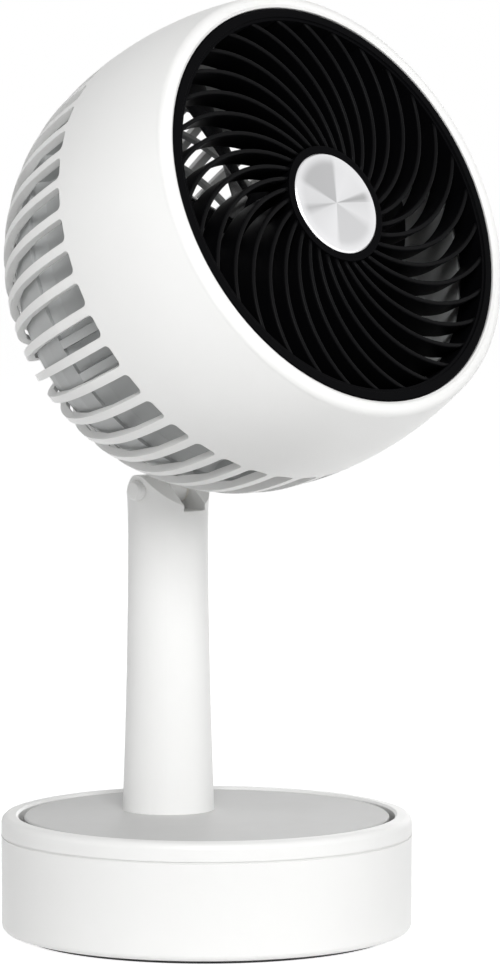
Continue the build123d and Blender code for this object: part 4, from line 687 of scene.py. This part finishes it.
def build_lamp(name, turn, rise, size, power):
    """A wide soft lamp aimed at the fan, placed by its angles in degrees from the camera's direction."""
    azimuth, elevation = CAMERA_AZIMUTH + math.radians(turn), math.radians(rise)
    outward = Vector((math.cos(elevation) * math.cos(azimuth), math.cos(elevation) * math.sin(azimuth),
                      math.sin(elevation)))
    light = bpy.data.lights.new(name, "AREA")
    light.shape = "RECTANGLE"
    light.size, light.size_y = size
    light.energy = power
    holder = bpy.data.objects.new(name, light)
    holder.location = LAMP_AIM + outward * LAMP_DISTANCE
    holder.rotation_euler = (-outward).to_track_quat("-Z", "Y").to_euler()
    bpy.context.scene.collection.objects.link(holder)


def background_rays(tree):
    """One where a ray looks at the background: from the camera, or by reflection or transmission."""
    rays = node(tree, "ShaderNodeLightPath")
    seen = maths(tree, "MAXIMUM", rays.outputs["Is Camera Ray"], rays.outputs["Is Glossy Ray"])
    return maths(tree, "MAXIMUM", seen, rays.outputs["Is Transmission Ray"])


def build_floor(colour):
    """A round pale floor that keeps the shadow and reads as white to the camera."""
    shape = bmesh.new()
    bmesh.ops.create_circle(shape, cap_ends=True, segments=96, radius=FLOOR_RADIUS)
    mesh = bpy.data.meshes.new("studio_floor")
    shape.to_mesh(mesh)
    shape.free()
    floor = bpy.data.objects.new("studio_floor", mesh)
    floor.location.z = -FLOOR_DROP
    bpy.context.scene.collection.objects.link(floor)
    made, tree, shader = new_material("pale_floor")
    shader.inputs["Base Color"].default_value = (*colour, 1.0)
    shader.inputs["Roughness"].default_value = 0.9
    shader.inputs["Specular IOR Level"].default_value = 0.0
    lift = maths(tree, "MULTIPLY", background_rays(tree), FLOOR_LIFT)
    tree.links.new(lift, shader.inputs["Emission Strength"])
    shader.inputs["Emission Color"].default_value = (1.0, 1.0, 1.0, 1.0)
    mesh.materials.append(made)


def build_world(strength):
    """Even room light, with a white background for the camera and for reflections."""
    world = bpy.data.worlds.new("studio_room")
    bpy.context.scene.world = world
    world.use_nodes = True
    tree = world.node_tree
    sky = next(n for n in tree.nodes if n.type == "BACKGROUND")
    sky.inputs["Color"].default_value = (1.0, 1.0, 1.0, 1.0)
    level = node(tree, "ShaderNodeMapRange",
                 {"Value": background_rays(tree), "To Min": strength, "To Max": 1.0})
    tree.links.new(level.outputs[0], sky.inputs["Strength"])


class FAN_PT_pieces(bpy.types.Panel):
    """Lists the fan's pieces and settings"""
    bl_idname = "FAN_PT_pieces"
    bl_label = "Desk Air Circulator"
    bl_space_type = "VIEW_3D"
    bl_region_type = "UI"
    bl_category = "Fan"

    def draw(self, context):
        for step in STEPS:
            self.layout.operator(step.bl_idname)
        for name, group in SETTINGS.items():
            for prop in group.__annotations__:
                self.layout.prop(getattr(context.scene, name), prop)


STEPS = (FAN_OT_dress_housing, FAN_OT_build_grille, FAN_OT_dress_disc, FAN_OT_dress_rotor, FAN_OT_dress_duct,
         FAN_OT_dress_base_inside, FAN_OT_dress_fasteners, FAN_OT_dress_foot, FAN_OT_build_stage)
SETTINGS = {"fan_housing": HousingSettings, "fan_air_path": AirPathSettings, "fan_stage": StageSettings}


def register():
    """Registers the settings, operators and panel."""
    for cls in (*SETTINGS.values(), *STEPS, FAN_PT_pieces):
        bpy.utils.register_class(cls)
    for name, group in SETTINGS.items():
        setattr(bpy.types.Scene, name, bpy.props.PointerProperty(type=group))


def unregister():
    """Takes them out again."""
    for name in SETTINGS:
        delattr(bpy.types.Scene, name)
    for cls in reversed((*SETTINGS.values(), *STEPS, FAN_PT_pieces)):
        bpy.utils.unregister_class(cls)


def main():
    """Builds the whole scene in order."""
    register()
    for step in STEPS:
        family, name = step.bl_idname.split(".")
        if getattr(getattr(bpy.ops, family), name)() != {"FINISHED"}:
            raise RuntimeError(f"{step.bl_idname} didn't finish")


if __name__ == "__main__":
    main()
